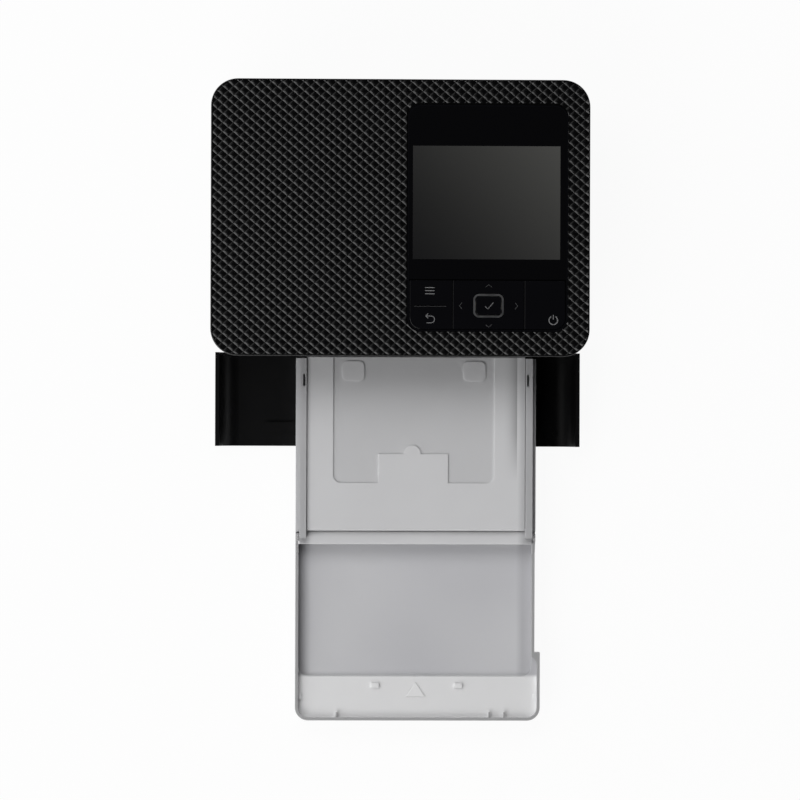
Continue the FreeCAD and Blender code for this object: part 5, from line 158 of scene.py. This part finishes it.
# %% Sums on sockets, and a finish to hold them
class Value:
    """A socket of a finish, on which sums can be written."""

    def __init__(self, finish, socket):
        self.finish, self.socket = finish, socket

    def sum(self, operation, first, second=0.0):
        return self.finish.node("Math", {"operation": operation}, {0: first, 1: second})

    def __add__(self, other):
        return self.sum("ADD", self, other)

    def __sub__(self, other):
        return self.sum("SUBTRACT", self, other)

    def __rsub__(self, other):
        return self.sum("SUBTRACT", other, self)

    def __mul__(self, other):
        return self.sum("MULTIPLY", self, other)

    __radd__, __rmul__ = __add__, __mul__

    def power(self, other):
        return self.sum("POWER", self, other)

    def lowest(self, other):
        return self.sum("MINIMUM", self, other)

    def above(self, edge):
        return self.sum("GREATER_THAN", self, edge)

    def size(self):
        return self.sum("ABSOLUTE", self)

    def rise(self, start, end):
        """0 below the start and 1 past the end, with an even slope between."""
        return self.finish.node("MapRange", {}, {0: self, 1: start, 2: end})


class Finish:
    """A material whose nodes are added by calls and by sums on values."""

    def __init__(self, name, color=(0.5, 0.5, 0.5), **settings):
        self.material = bpy.data.materials.new(name)
        self.material.use_nodes = True
        self.tree = self.material.node_tree
        self.shader = self.tree.nodes["Principled BSDF"]
        self.shader.inputs["Base Color"].default_value = (*color, 1)
        for socket, value in settings.items():
            self.set(socket.replace("_", " "), value)

    def node(self, kind, settings, sockets, result=0):
        """Adds one node and gives one of its outputs as a value."""
        made = self.tree.nodes.new("ShaderNode" + kind)
        for key, value in settings.items():
            setattr(made, key, value)
        for key, value in sockets.items():
            if isinstance(value, Value):
                self.tree.links.new(value.socket, made.inputs[key])
            else:
                made.inputs[key].default_value = value
        return Value(self, made.outputs[result])

    def set(self, socket, value):
        if isinstance(value, Value):
            self.tree.links.new(value.socket, self.shader.inputs[socket])
        else:
            self.shader.inputs[socket].default_value = value

    def place(self, axis=None):
        """Where a point is on the printer, in metres."""
        spot = self.node("TexCoord", {}, {}, "Object")
        if axis is None:
            return spot
        return self.node("SeparateXYZ", {}, {0: spot}, axis)

    def noise(self, scale, detail=2.0, stretch=(1, 1, 1)):
        spot = self.node("Mapping", {}, {"Vector": self.place(), "Scale": stretch})
        return self.node("TexNoise", {}, {"Vector": spot, "Scale": scale, "Detail": detail})

    def mix(self, mask, low, high):
        """One colour where the mask is 0 and the other where it is 1."""
        low, high = (c if isinstance(c, Value) else (*c, 1) for c in (low, high))
        return self.node("Mix", {"data_type": "RGBA"}, {0: mask, 6: low, 7: high}, 2)

    def bump(self, height, depth, strength=1.0):
        self.set("Normal", self.node(
            "Bump", {}, {"Height": height, "Distance": depth, "Strength": strength}))

    def wear(self, *names):
        """Gives the finish to solids of the CAD model."""
        for name in names:
            nodes[name].data.materials.clear()
            nodes[name].data.materials.append(self.material)
        print(self.material.name, "on", ", ".join(names))


# %% [markdown]
# ## The table's paper
# In the photo the table is plain white paper. Bright paint alone would come out grey
# below dark lamps, so part of what the camera sees is a white glow, and the rest is
# paint, which keeps the soft shadow.

# %% White to the camera, but shaded by the object
GLOW_SHARE = 0.94
paper = Finish("pale_floor", (0.9, 0.9, 0.9), Roughness=0.9)
seen = [paper.node("LightPath", {}, {}, "Is %s Ray" % kind)
        for kind in ("Camera", "Glossy", "Transmission")]
paper.set("Emission Strength", 0.0)
glow = paper.node("Emission", {}, {"Strength": 1.0})
some = (seen[0] + seen[1] + seen[2]).lowest(1.0) * GLOW_SHARE
mixed = paper.node("MixShader", {}, {0: some, 1: Value(paper, paper.shader.outputs[0]), 2: glow})
paper.tree.links.new(mixed.socket, paper.tree.nodes["Material Output"].inputs["Surface"])
floor.data.materials.append(paper.material)
print(paper.material.name, "on", floor.name)

# %% [markdown]
# ## Black mouldings
# The shells are black plastic from steel moulds. A spark-eroded mould leaves a fine
# even grain, which shows as a soft, slightly broken highlight and not as colour, so
# the grain goes into roughness and a shallow bump.

# %% Satin black, gloss black and the grain of the cover
CLOUD_SCALE, CLOUD_DETAIL, CLOUD_DARKENS = 35, 3.0, 0.8
SPECK_ROUGHENS, CLOUD_ROUGHENS, GRAIN_STRENGTH = 0.1, 0.06, 0.3


def moulded(name, color, rough, grain, depth):
    """Moulded plastic or rubber: a fine speck over a wide, faint cloud."""
    finish = Finish(name, color)
    speck = finish.noise(grain)
    cloud = finish.noise(CLOUD_SCALE, CLOUD_DETAIL)
    finish.set("Base Color", finish.mix(cloud, [c * CLOUD_DARKENS for c in color], color))
    even = rough - (SPECK_ROUGHENS + CLOUD_ROUGHENS) / 2
    finish.set("Roughness", speck * SPECK_ROUGHENS + cloud * CLOUD_ROUGHENS + even)
    finish.bump(speck, depth, GRAIN_STRENGTH)
    return finish


satin = moulded("satin_black", (0.003, 0.003, 0.0034), 0.34, 2600, 0.00002)
satin.wear("lower_housing", "front_bezel", "front_cover", "ink_door", "fan_housing",
           "fan_rotor", "power_inlet")
grain = moulded("cover_black", (0.0016, 0.0016, 0.0019), 0.3, 3000, 0.00001)
grain.set("Specular IOR Level", 0.52)
grain.wear("top_cover")
gloss = moulded("gloss_black", (0.004, 0.004, 0.005), 0.12, 900, 0.000001)
gloss.wear("panel_frame", "rocker_key", "pad_key", "centre_key", "power_key")

# %% [markdown]
# ## The screen behind its pane
# The pane is one clear sheet painted black on its back, except over the screen. The
# screen has a matt film with a painted reflection, a grey that grows toward its far right
# corner, while the polished border round it stays black. One mask on the place of a
# point sets both, and a sum of the two directions gives the painted reflection.

# %% The pane with its window
WINDOW_X = (5.85 * MM, 76.7 * MM)
WINDOW_Y = (69.4 * MM, 123.8 * MM)
REFLECTION_ACROSS, REFLECTION_ALONG, REFLECTION_CURVE = 0.6, 0.4, 1.5
POLISHED, MATT_FILM, WAVES = 0.08, 0.4, 0.03

pane = Finish("screen_pane", (0.004, 0.004, 0.005))
across, along = pane.place(0), pane.place(1)
width, depth = WINDOW_X[1] - WINDOW_X[0], WINDOW_Y[1] - WINDOW_Y[0]
inside = ((across - sum(WINDOW_X) / 2).size() * -1).above(-width / 2) * (
    (along - sum(WINDOW_Y) / 2).size() * -1).above(-depth / 2)
# Painted reflection of a lamp in the screen's film, brighter toward the far right corner.
slant = (across - WINDOW_X[0]) * (REFLECTION_ACROSS / width) + (along - WINDOW_Y[0]) * (REFLECTION_ALONG / depth)
painted_reflection = inside * slant.power(REFLECTION_CURVE)
pane.set("Base Color", pane.mix(painted_reflection, (0.003, 0.003, 0.0035), (0.068, 0.068, 0.064)))
pane.set("Roughness", inside * MATT_FILM + POLISHED + pane.noise(60) * WAVES)
pane.wear("panel_lens")
print("screen window", [round(v / MM, 1) for v in WINDOW_X + WINDOW_Y])

# %% [markdown]
# ## The clouded cassette
# The cassette and its lids are moulded in a milky plastic. Light goes a little way in,
# so edges and thin walls look soft, but what lies below can't be made out. Where the
# plastic is thick, such as the rails and the walls seen end on, it looks denser. Where
# a single sheet lies over the pale table, the light through it is painted in as a paler tone.

# %% Milky plastic, dense along the sides
DENSE, CLEAR = (0.49, 0.49, 0.5), (0.71, 0.71, 0.72)
SIDE_LEFT, SIDE_RIGHT, SIDE_BLUR = -44.0 * MM, 60.2 * MM, 1.6 * MM
LIGHT_REACH = 3 * MM


def clouded(name):
    """The milky finish, and its tone for a piece to shade further."""
    finish = moulded(name, CLEAR, 0.42, 1500, 0.00001)
    finish.set("Subsurface Weight", 0.7)
    finish.set("Subsurface Radius", (LIGHT_REACH, LIGHT_REACH, LIGHT_REACH))
    finish.set("Subsurface Scale", 0.5)
    across = finish.place(0)
    inner = across.rise(SIDE_LEFT - SIDE_BLUR, SIDE_LEFT + SIDE_BLUR) * (
        1 - across.rise(SIDE_RIGHT - SIDE_BLUR, SIDE_RIGHT + SIDE_BLUR))
    cloud = finish.noise(22, 2.0)
    return finish, finish.mix(inner * (cloud * 0.3 + 0.8), DENSE, CLEAR)


milky, tone = clouded("milky_grey")
milky.set("Base Color", tone)
milky.wear("cassette_tray", "lift_plate")

# %% [markdown]
# The inner lid has a shallow recess with a round nose, a shade darker than the lid
# round it. Along its right side the lid is painted darker toward the wall: painted
# shade, together with the dark guide below showing through. It is widest below the
# cover's edge and fades away toward the front. Both are masks on where a point is, so
# no picture is needed.

# %% The inner lid
LID_TOP, RECESS_DEPTH = 24.0 * MM, 0.15 * MM
GUIDE_SHADE_X, GUIDE_SHADE_WIDTH = 58.2 * MM, 7.5 * MM
GUIDE_SHADE_FRONT_Y, GUIDE_SHADE_BACK_Y = -38.0 * MM, -14.0 * MM
GUIDE_SHADE_TONE, GUIDE_SHADE_SHOWS, RECESS_SHOWS = (0.2, 0.2, 0.205), 0.6, 0.35

lid, tone = clouded("milky_lid")
across, along, height = lid.place(0), lid.place(1), lid.place(2)
recess = 1 - height.rise(LID_TOP - 2 * RECESS_DEPTH, LID_TOP - RECESS_DEPTH)
# Painted shade along the right side, darkest below the cover's edge, with the guide below showing
# through.
guide_and_shade = across.rise(GUIDE_SHADE_X - GUIDE_SHADE_WIDTH, GUIDE_SHADE_X).power(2.0) * along.rise(
    GUIDE_SHADE_FRONT_Y, GUIDE_SHADE_BACK_Y) * (1 - across.above(GUIDE_SHADE_X))
tone = lid.mix(recess * RECESS_SHOWS, tone, DENSE)
lid.set("Base Color", lid.mix(guide_and_shade * GUIDE_SHADE_SHOWS, tone, GUIDE_SHADE_TONE))
lid.wear("cassette_inner_lid")

# %% [markdown]
# The outer lid lies open on the table. Its sunk middle is painted a darker bluish grey
# in a soft cloud, partly its tint and partly painted shade of the deeper floor. The strip
# past the step is one sheet over the pale table, and the light that comes through it is
# painted in as a paler tone. Its walls are seen end on, so they look darkest.

# %% The outer lid
STEP_Y, STEP_BLUR, WALL_Z, WALL_BLUR = -133.9 * MM, 0.8 * MM, 13.6 * MM, 0.3 * MM
BLUISH_SHADE, PAINTED_SHEET_LIGHT, END_ON = (0.52, 0.52, 0.55), (0.82, 0.82, 0.825), (0.42, 0.42, 0.425)

outer, tone = clouded("milky_outer_lid")
along, height = outer.place(1), outer.place(2)
# Bluish tint and painted shade of the sunk middle, spread in a soft cloud.
tone = outer.mix(outer.noise(14, 1.0) * 0.9, tone, BLUISH_SHADE)
# Painted light on the strip past the step, where light comes through to the table.
lit_strip = 1 - along.rise(STEP_Y - STEP_BLUR, STEP_Y + STEP_BLUR)
tone = outer.mix(lit_strip, tone, PAINTED_SHEET_LIGHT)
outer.set("Base Color", outer.mix(height.rise(WALL_Z, WALL_Z + WALL_BLUR), tone, END_ON))
outer.wear("cassette_outer_lid")

# %% [markdown]
# ## Metal, rubber and the works inside
# Ground shafts show fine rings round their axis, which a noise stretched along the
# other axes gives. Zinc on sheet steel has faint clouds. Rubber is dull and dusty.

# %% Metals
LINE_DARKENS, LINE_ROUGHENS, LINE_DEPTH, LINE_STRENGTH = 0.82, 0.18, 0.00001, 0.25


def metal(name, color, rough, scale, stretch):
    """Bare metal, with lines along the axes where the stretch is small."""
    finish = Finish(name, color, Metallic=1.0)
    lines = finish.noise(scale, 3.0, stretch)
    finish.set("Base Color", finish.mix(lines, [c * LINE_DARKENS for c in color], color))
    finish.set("Roughness", lines * LINE_ROUGHENS + (rough - LINE_ROUGHENS / 2))
    finish.bump(lines, LINE_DEPTH, LINE_STRENGTH)
    return finish


ground = metal("ground_steel", (0.62, 0.62, 0.63), 0.25, 60, (40, 1, 1))
ground.wear("capstan_roller", "pinch_roller", "pick_roller", "eject_roller", "hinge_pins",
            "case_screws")
zinc = metal("zinc_sheet", (0.58, 0.59, 0.6), 0.38, 90, (1, 1, 1))
zinc.wear("left_side_plate", "right_side_plate", "chassis_bridge", "paper_guides", "gear_plate")
nickel = metal("nickel_shell", (0.66, 0.64, 0.6), 0.28, 140, (1, 8, 1))
nickel.wear("feed_motor", "ribbon_motor", "card_slot", "usb_port")
sinter = metal("sintered_bronze", (0.52, 0.36, 0.18), 0.45, 900, (1, 1, 1))
sinter.wear("shaft_bushes", "feed_pinion", "ribbon_pinion")
sink = metal("drawn_aluminium", (0.7, 0.71, 0.72), 0.34, 80, (1, 30, 1))
sink.wear("heat_sink")
plated = metal("bright_plating", (0.9, 0.9, 0.92), 0.34, 300, (1, 1, 1))
plated.wear("centre_ring")

# %% Rubber, nylon, boards and the glazed head
rubber = moulded("ground_rubber", (0.028, 0.028, 0.028), 0.75, 1200, 0.00004)
rubber.wear("rubber_feet", "platen_roller", "pick_tyres", "keypad_membrane")
nylon = moulded("white_nylon", (0.74, 0.71, 0.64), 0.5, 800, 0.00002)
nylon.wear("idler_gear_a", "idler_gear_b", "idler_gear_c", "idler_gear_d", "takeup_spindle",
           "eject_pinch_roller", "supply_spool", "takeup_spool", "head_cam", "pad_gimbal")
case_grey = moulded("case_grey", (0.16, 0.16, 0.17), 0.5, 1800, 0.00002)
case_grey.wear("cartridge_case", "cartridge_lever", "lcd_module")
board = moulded("board_green", (0.02, 0.13, 0.06), 0.35, 500, 0.00002)
board.wear("key_board", "main_board", "io_board")
ceramic = moulded("glazed_ceramic", (0.72, 0.7, 0.66), 0.2, 400, 0.000004)
ceramic.wear("thermal_head")

# %% [markdown]
# ## The ink film
# The film carries wide bands of yellow, magenta and cyan one after the other. Here
# the bands lie across the film between its two rolls, from a ramp with hard steps.

# %% Bands of ink
YELLOW, MAGENTA, CYAN = (0.75, 0.6, 0.05, 1), (0.6, 0.05, 0.25, 1), (0.03, 0.3, 0.55, 1)
ROUNDS_PER_METRE = 40.0

film = Finish("ink_film", Roughness=0.25)
band = film.node("Math", {"operation": "FRACT"}, {0: film.place(1) * ROUNDS_PER_METRE})
bands = film.node("ValToRGB", {}, {0: band})
ramp = bands.socket.node.color_ramp
ramp.interpolation = "CONSTANT"
ramp.elements[0].color = YELLOW
ramp.elements[1].position = 0.33
ramp.elements[1].color = MAGENTA
ramp.elements.new(0.66).color = CYAN
film.set("Base Color", bands)
film.wear("ink_ribbon")

# %% [markdown]
# ## The relief on the cover
# The cover is moulded with rows of low four-sided cushions, each set half a pitch
# from the next row. A grid turned by 45 degrees and squeezed has diamond cells. A
# narrow steep inset, a wide one with less slope and a low Poke give each cell crowned
# sides, steepest at the valley lines. It is real relief, because its lit and unlit
# faces are what the eye sees first on this object.

# %% Ending a piece
def deselect():
    bpy.ops.object.select_all(action="DESELECT")


def finished(obj, name, body, finish):
    """Names a piece, gives it its finish and lets it ride on its body."""
    obj.name = obj.data.name = name
    deselect()
    obj.select_set(True)
    bpy.context.view_layer.objects.active = obj
    bpy.ops.object.transform_apply(location=True, rotation=True, scale=True)
    obj.data.materials.clear()
    obj.data.materials.append(finish.material)
    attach(obj, body)
    print(name, len(obj.data.polygons), "faces")
    return obj


# %% Cutting with planes
def cut_away(point, outward):
    """Bisects what is selected and takes away what lies outward of the plane."""
    bpy.ops.mesh.select_all(action="SELECT")
    bpy.ops.mesh.bisect(plane_co=point, plane_no=outward, clear_outer=True)


def rounded_outline(low, high, radius, steps):
    """Points and outward directions of planes that close in a rounded rectangle."""
    planes = []
    for start, sx, sy in ((0, 1, 1), (90, -1, 1), (180, -1, -1), (270, 1, -1)):
        centre = Vector(((high[0] - radius) if sx > 0 else (low[0] + radius),
                         (high[1] - radius) if sy > 0 else (low[1] + radius), 0))
        for step in range(steps + 1):
            angle = math.radians(start + 90 * step / steps)
            way = Vector((math.cos(angle), math.sin(angle), 0))
            planes.append((centre + way * radius, way))
    return planes


# %% The grid of diamonds
DIAMOND_WIDTH, DIAMOND_DEPTH = 5.2 * MM, 4.39 * MM
CELLS = 72
COVER_LOW, COVER_HIGH = Vector((-91.1, 22.75, 49)) * MM, Vector((91.1, 155.75, 57.6)) * MM
FIELD_TOP = COVER_TOP - 0.4 * MM
FIRST_ROW_Y, ROWS_TO_MIDDLE = 26.9 * MM, 14
RELIEF_MIDDLE = Vector((0.17 * MM, FIRST_ROW_Y + ROWS_TO_MIDDLE * DIAMOND_DEPTH,
                        FIELD_TOP + 0.03 * MM))

deselect()
bpy.ops.mesh.primitive_grid_add(x_subdivisions=CELLS, y_subdivisions=CELLS, size=CELLS,
                                rotation=(0, 0, math.radians(45)), location=RELIEF_MIDDLE)
relief = bpy.context.object
bpy.ops.object.transform_apply(location=False, rotation=True, scale=True)
relief.scale = (DIAMOND_WIDTH / math.sqrt(2), DIAMOND_DEPTH / math.sqrt(2), 1)
bpy.ops.object.transform_apply(location=True, rotation=True, scale=True)
bpy.ops.object.mode_set(mode="EDIT")
for way, edge in ((Vector((1, 0, 0)), COVER_HIGH), (Vector((0, 1, 0)), COVER_HIGH),
                  (Vector((-1, 0, 0)), COVER_LOW), (Vector((0, -1, 0)), COVER_LOW)):
    cut_away(edge + way * DIAMOND_WIDTH, way)
bpy.ops.object.mode_set(mode="OBJECT")
print("cells left", len(relief.data.polygons))

# %% Crown each cell, and cut the rim
CROWN_STEPS = ((0.38 * MM, 0.21 * MM), (0.65 * MM, 0.25 * MM))
CROWN_TOP = 0.1 * MM
RIM, COVER_CORNER = Vector((0.72 * MM, 0.72 * MM, 0)), 12.3 * MM

bpy.ops.object.mode_set(mode="EDIT")
bpy.ops.mesh.select_all(action="SELECT")
for inward, rise in CROWN_STEPS:
    bpy.ops.mesh.inset(thickness=inward, depth=rise, use_individual=True)
bpy.ops.mesh.poke(offset=CROWN_TOP)
for point, way in rounded_outline(COVER_LOW + RIM, COVER_HIGH - RIM, COVER_CORNER, 6):
    cut_away(point, way)
bpy.ops.object.mode_set(mode="OBJECT")
print("faces", len(relief.data.polygons))

# %% [markdown]
# The panel sits in an opening of the cover. Cutting along its outline without
# clearing gives clean edges there, and then the faces within are deleted. Only the
# cells about the panel are cut, so the rest keep their even crowns.

# %% The opening for the panel
PANEL_LOW, PANEL_HIGH = Vector((2.9, 34.5, 0)) * MM, Vector((80.52, 144.5, 0)) * MM
PANEL_CORNER = 6.72 * MM
opening = rounded_outline(PANEL_LOW, PANEL_HIGH, PANEL_CORNER, 4)


def select_inside(planes, margin=0.0):
    """Selects the faces of the relief that lie inside all of the planes."""
    bpy.ops.object.mode_set(mode="EDIT")
    bpy.ops.mesh.select_mode(type="FACE")
    bpy.ops.mesh.select_all(action="DESELECT")
    bpy.ops.object.mode_set(mode="OBJECT")
    for face in relief.data.polygons:
        spot = Vector((face.center.x, face.center.y, 0))
        face.select = all((spot - point).dot(way) < margin for point, way in planes)
    bpy.ops.object.mode_set(mode="EDIT")


for point, way in opening:
    select_inside(opening, DIAMOND_WIDTH / 4)
    bpy.ops.mesh.bisect(plane_co=point, plane_no=way)
select_inside(opening)
bpy.ops.mesh.delete(type="FACE")
bpy.ops.object.mode_set(mode="OBJECT")
print("faces round the opening", len(relief.data.polygons))

# %% [markdown]
# The sheet gets a flat back just below it, so that it is a closed skin. Its boundary
# is extruded down, flattened and filled. Smoothing by angle keeps the valley lines
# sharp, while the sides of each cell run into its top.

# %% Close the skin
SKIRT, BACK_Z = (0, 0, -0.3 * MM), FIELD_TOP - 0.1 * MM
SHARPER_THAN = math.radians(30)

bpy.ops.object.mode_set(mode="EDIT")
bpy.ops.mesh.select_mode(type="EDGE")
bpy.ops.mesh.select_all(action="DESELECT")
bpy.ops.mesh.select_non_manifold(use_boundary=True, use_wire=False, use_multi_face=False,
                                 use_non_contiguous=False, use_verts=False)
bpy.ops.mesh.extrude_region_move(TRANSFORM_OT_translate={"value": SKIRT})
bpy.ops.transform.resize(value=(1, 1, 0), center_override=(0, 0, BACK_Z))
bpy.ops.mesh.fill()
bpy.ops.mesh.select_all(action="SELECT")
bpy.ops.mesh.normals_make_consistent(inside=False)
bpy.ops.object.mode_set(mode="OBJECT")
finished(relief, "relief_skin", "printer_body", grain)
bpy.ops.object.shade_smooth_by_angle(angle=SHARPER_THAN)

# %% [markdown]
# ## Signs on the keys
# The signs are printed in pale grey: three bars, a return arrow, four fainter chevrons,
# a tick and the power sign. Each is a path with a round section, pressed flat to the
# thickness of a coat of ink on the key below it. Their places are read off the picture
# in pixels, which one function turns into places on the printer.

# %% From a pixel to a place
PICTURE_MIDDLE_X, PICTURE_MIDDLE_Y = 304.3, 400.8
KEY_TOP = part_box("pad_key")[1].z


def at_pixel(px, py, height=KEY_TOP):
    """The place on the printer of a pixel of the picture, at a height over the desk."""
    scale = MM_PER_PIXEL * MM * (CAMERA_HEIGHT + COVER_TOP - height) / CAMERA_HEIGHT
    return Vector((CAMERA_X + (px - PICTURE_MIDDLE_X) * scale,
                   MIDDLE_Y + (PICTURE_MIDDLE_Y - py) * scale, height))


def pixels(*spots):
    return [at_pixel(px, py) for px, py in spots]


def arc(px, py, radius, start, end, steps=14):
    """Points on part of a circle whose middle is at a pixel; angles count from the right."""
    turns = [math.radians(start + (end - start) * n / steps) for n in range(steps + 1)]
    return [at_pixel(px, py) + Vector((math.cos(t), math.sin(t), 0)) * radius for t in turns]


print("keys at", round(KEY_TOP / MM, 2), "mm")

# %% Printed strokes
INK_HEIGHT = 0.12
ink = moulded("pale_print", (0.2, 0.2, 0.205), 0.5, 2000, 0.000005)
faint_ink = moulded("faint_print", (0.06, 0.06, 0.062), 0.5, 2000, 0.000005)


def stroke(points, width, name, body, finish):
    """A line of print, whose height is a small share of its width."""
    deselect()
    bpy.ops.curve.primitive_nurbs_path_add()
    path = bpy.context.object
    path.location = (0, 0, 0)
    path.data.splines.clear()
    spline = path.data.splines.new("POLY")
    spline.points.add(len(points) - 1)
    for point, place in zip(spline.points, points):
        point.co = (*place, 1)
    path.data.bevel_depth = width / 2
    path.data.bevel_resolution = 2
    path.data.use_fill_caps = True
    bpy.ops.object.convert(target="MESH")
    bpy.ops.object.mode_set(mode="EDIT")
    bpy.ops.mesh.select_all(action="SELECT")
    bpy.ops.transform.resize(value=(1, 1, INK_HEIGHT), center_override=(0, 0, points[0].z))
    bpy.ops.object.mode_set(mode="OBJECT")
    return finished(bpy.context.object, name, body, finish)


# %% Signs on the two-way key
LINE = 0.36 * MM
BAR_LEFT, BAR_RIGHT, BAR_ROWS = 425.3, 434.7, (287.9, 291.0, 294.1)
for row, py in enumerate(BAR_ROWS):
    stroke(pixels((BAR_LEFT, py), (BAR_RIGHT, py)), LINE, "menu_bar_%d" % row, "rocker_key", ink)
ARROW_TIP, ARROW_WING, ARROW_Y, BEND_X = 426.0, 428.4, 316.3, 431.5
stroke(pixels((427.0, 323.2), (BEND_X, 323.2)) + arc(BEND_X, 319.7, 1.62 * MM, -80, 80)
       + pixels((ARROW_TIP, ARROW_Y)), LINE, "return_arrow", "rocker_key", ink)
stroke(pixels((ARROW_WING, 314.0), (ARROW_TIP, ARROW_Y), (ARROW_WING, 318.6)),
       LINE, "return_arrow_head", "rocker_key", ink)
stroke(pixels((414.4, 306.6), (446.4, 306.6)), LINE * 0.5, "rocker_middle_line", "rocker_key",
       faint_ink)

# %% Chevrons on the pad, the tick and the power sign
CHEVRON_HALF, CHEVRON_TIP = 3.1, 1.2
for name, px, py, dx, dy in (("up", 489, 286, 0, -1), ("down", 489, 326, 0, 1),
                             ("left", 461, 306, -1, 0), ("right", 517, 306, 1, 0)):
    wings = [(px - side * CHEVRON_HALF * dy - CHEVRON_TIP * dx,
              py - side * CHEVRON_HALF * dx - CHEVRON_TIP * dy) for side in (1, -1)]
    tip = (px + CHEVRON_TIP * dx, py + CHEVRON_TIP * dy)
    stroke(pixels(wings[0], tip, wings[1]), LINE * 0.8, "chevron_" + name, "pad", faint_ink)
stroke(pixels((485.4, 306.4), (488.2, 309.2), (493.6, 302.8)), LINE, "tick", "centre_key", ink)
POWER_X, POWER_Y, RING_RADIUS, RING_LINE = 553.9, 320.2, 2.06 * MM, LINE * 1.3
stroke(arc(POWER_X, POWER_Y, RING_RADIUS, 118, 422, steps=24), RING_LINE, "power_ring",
       "power_key", ink)
stroke(pixels((POWER_X, 314.6), (POWER_X, 319.6)), LINE, "power_bar", "power_key", ink)

# %% [markdown]
# ## The mark on the outer lid
# A plain raised triangle on the pale strip points at the printer. It starts as a
# cylinder with three sides, and a bevel rounds its edges as a moulding has them, so
# that they catch the light.

# %% The triangle
STRIP_TOP = 12.4 * MM
MARK_HALF, MARK_LENGTH, MARK_RISE, MARK_ROUND = 4.8 * MM, 7.0 * MM, 0.3 * MM, 0.12 * MM

deselect()
bpy.ops.mesh.primitive_cylinder_add(vertices=3, radius=1, depth=1,
                                    location=at_pixel(417.0, 692.3, STRIP_TOP + MARK_RISE / 4))
mark = bpy.context.object
mark.scale = (MARK_HALF / math.cos(math.radians(30)), MARK_LENGTH / 1.5, MARK_RISE * 1.5)
bpy.ops.object.transform_apply(location=True, rotation=True, scale=True)
bpy.ops.object.mode_set(mode="EDIT")
bpy.ops.mesh.select_all(action="SELECT")
bpy.ops.mesh.bevel(offset=MARK_ROUND, segments=2)
bpy.ops.object.mode_set(mode="OBJECT")
pale_mark = moulded("pale_mark", (0.95, 0.95, 0.955), 0.42, 1500, 0.00001)
finished(mark, "lid_mark", "outer_lid", pale_mark)
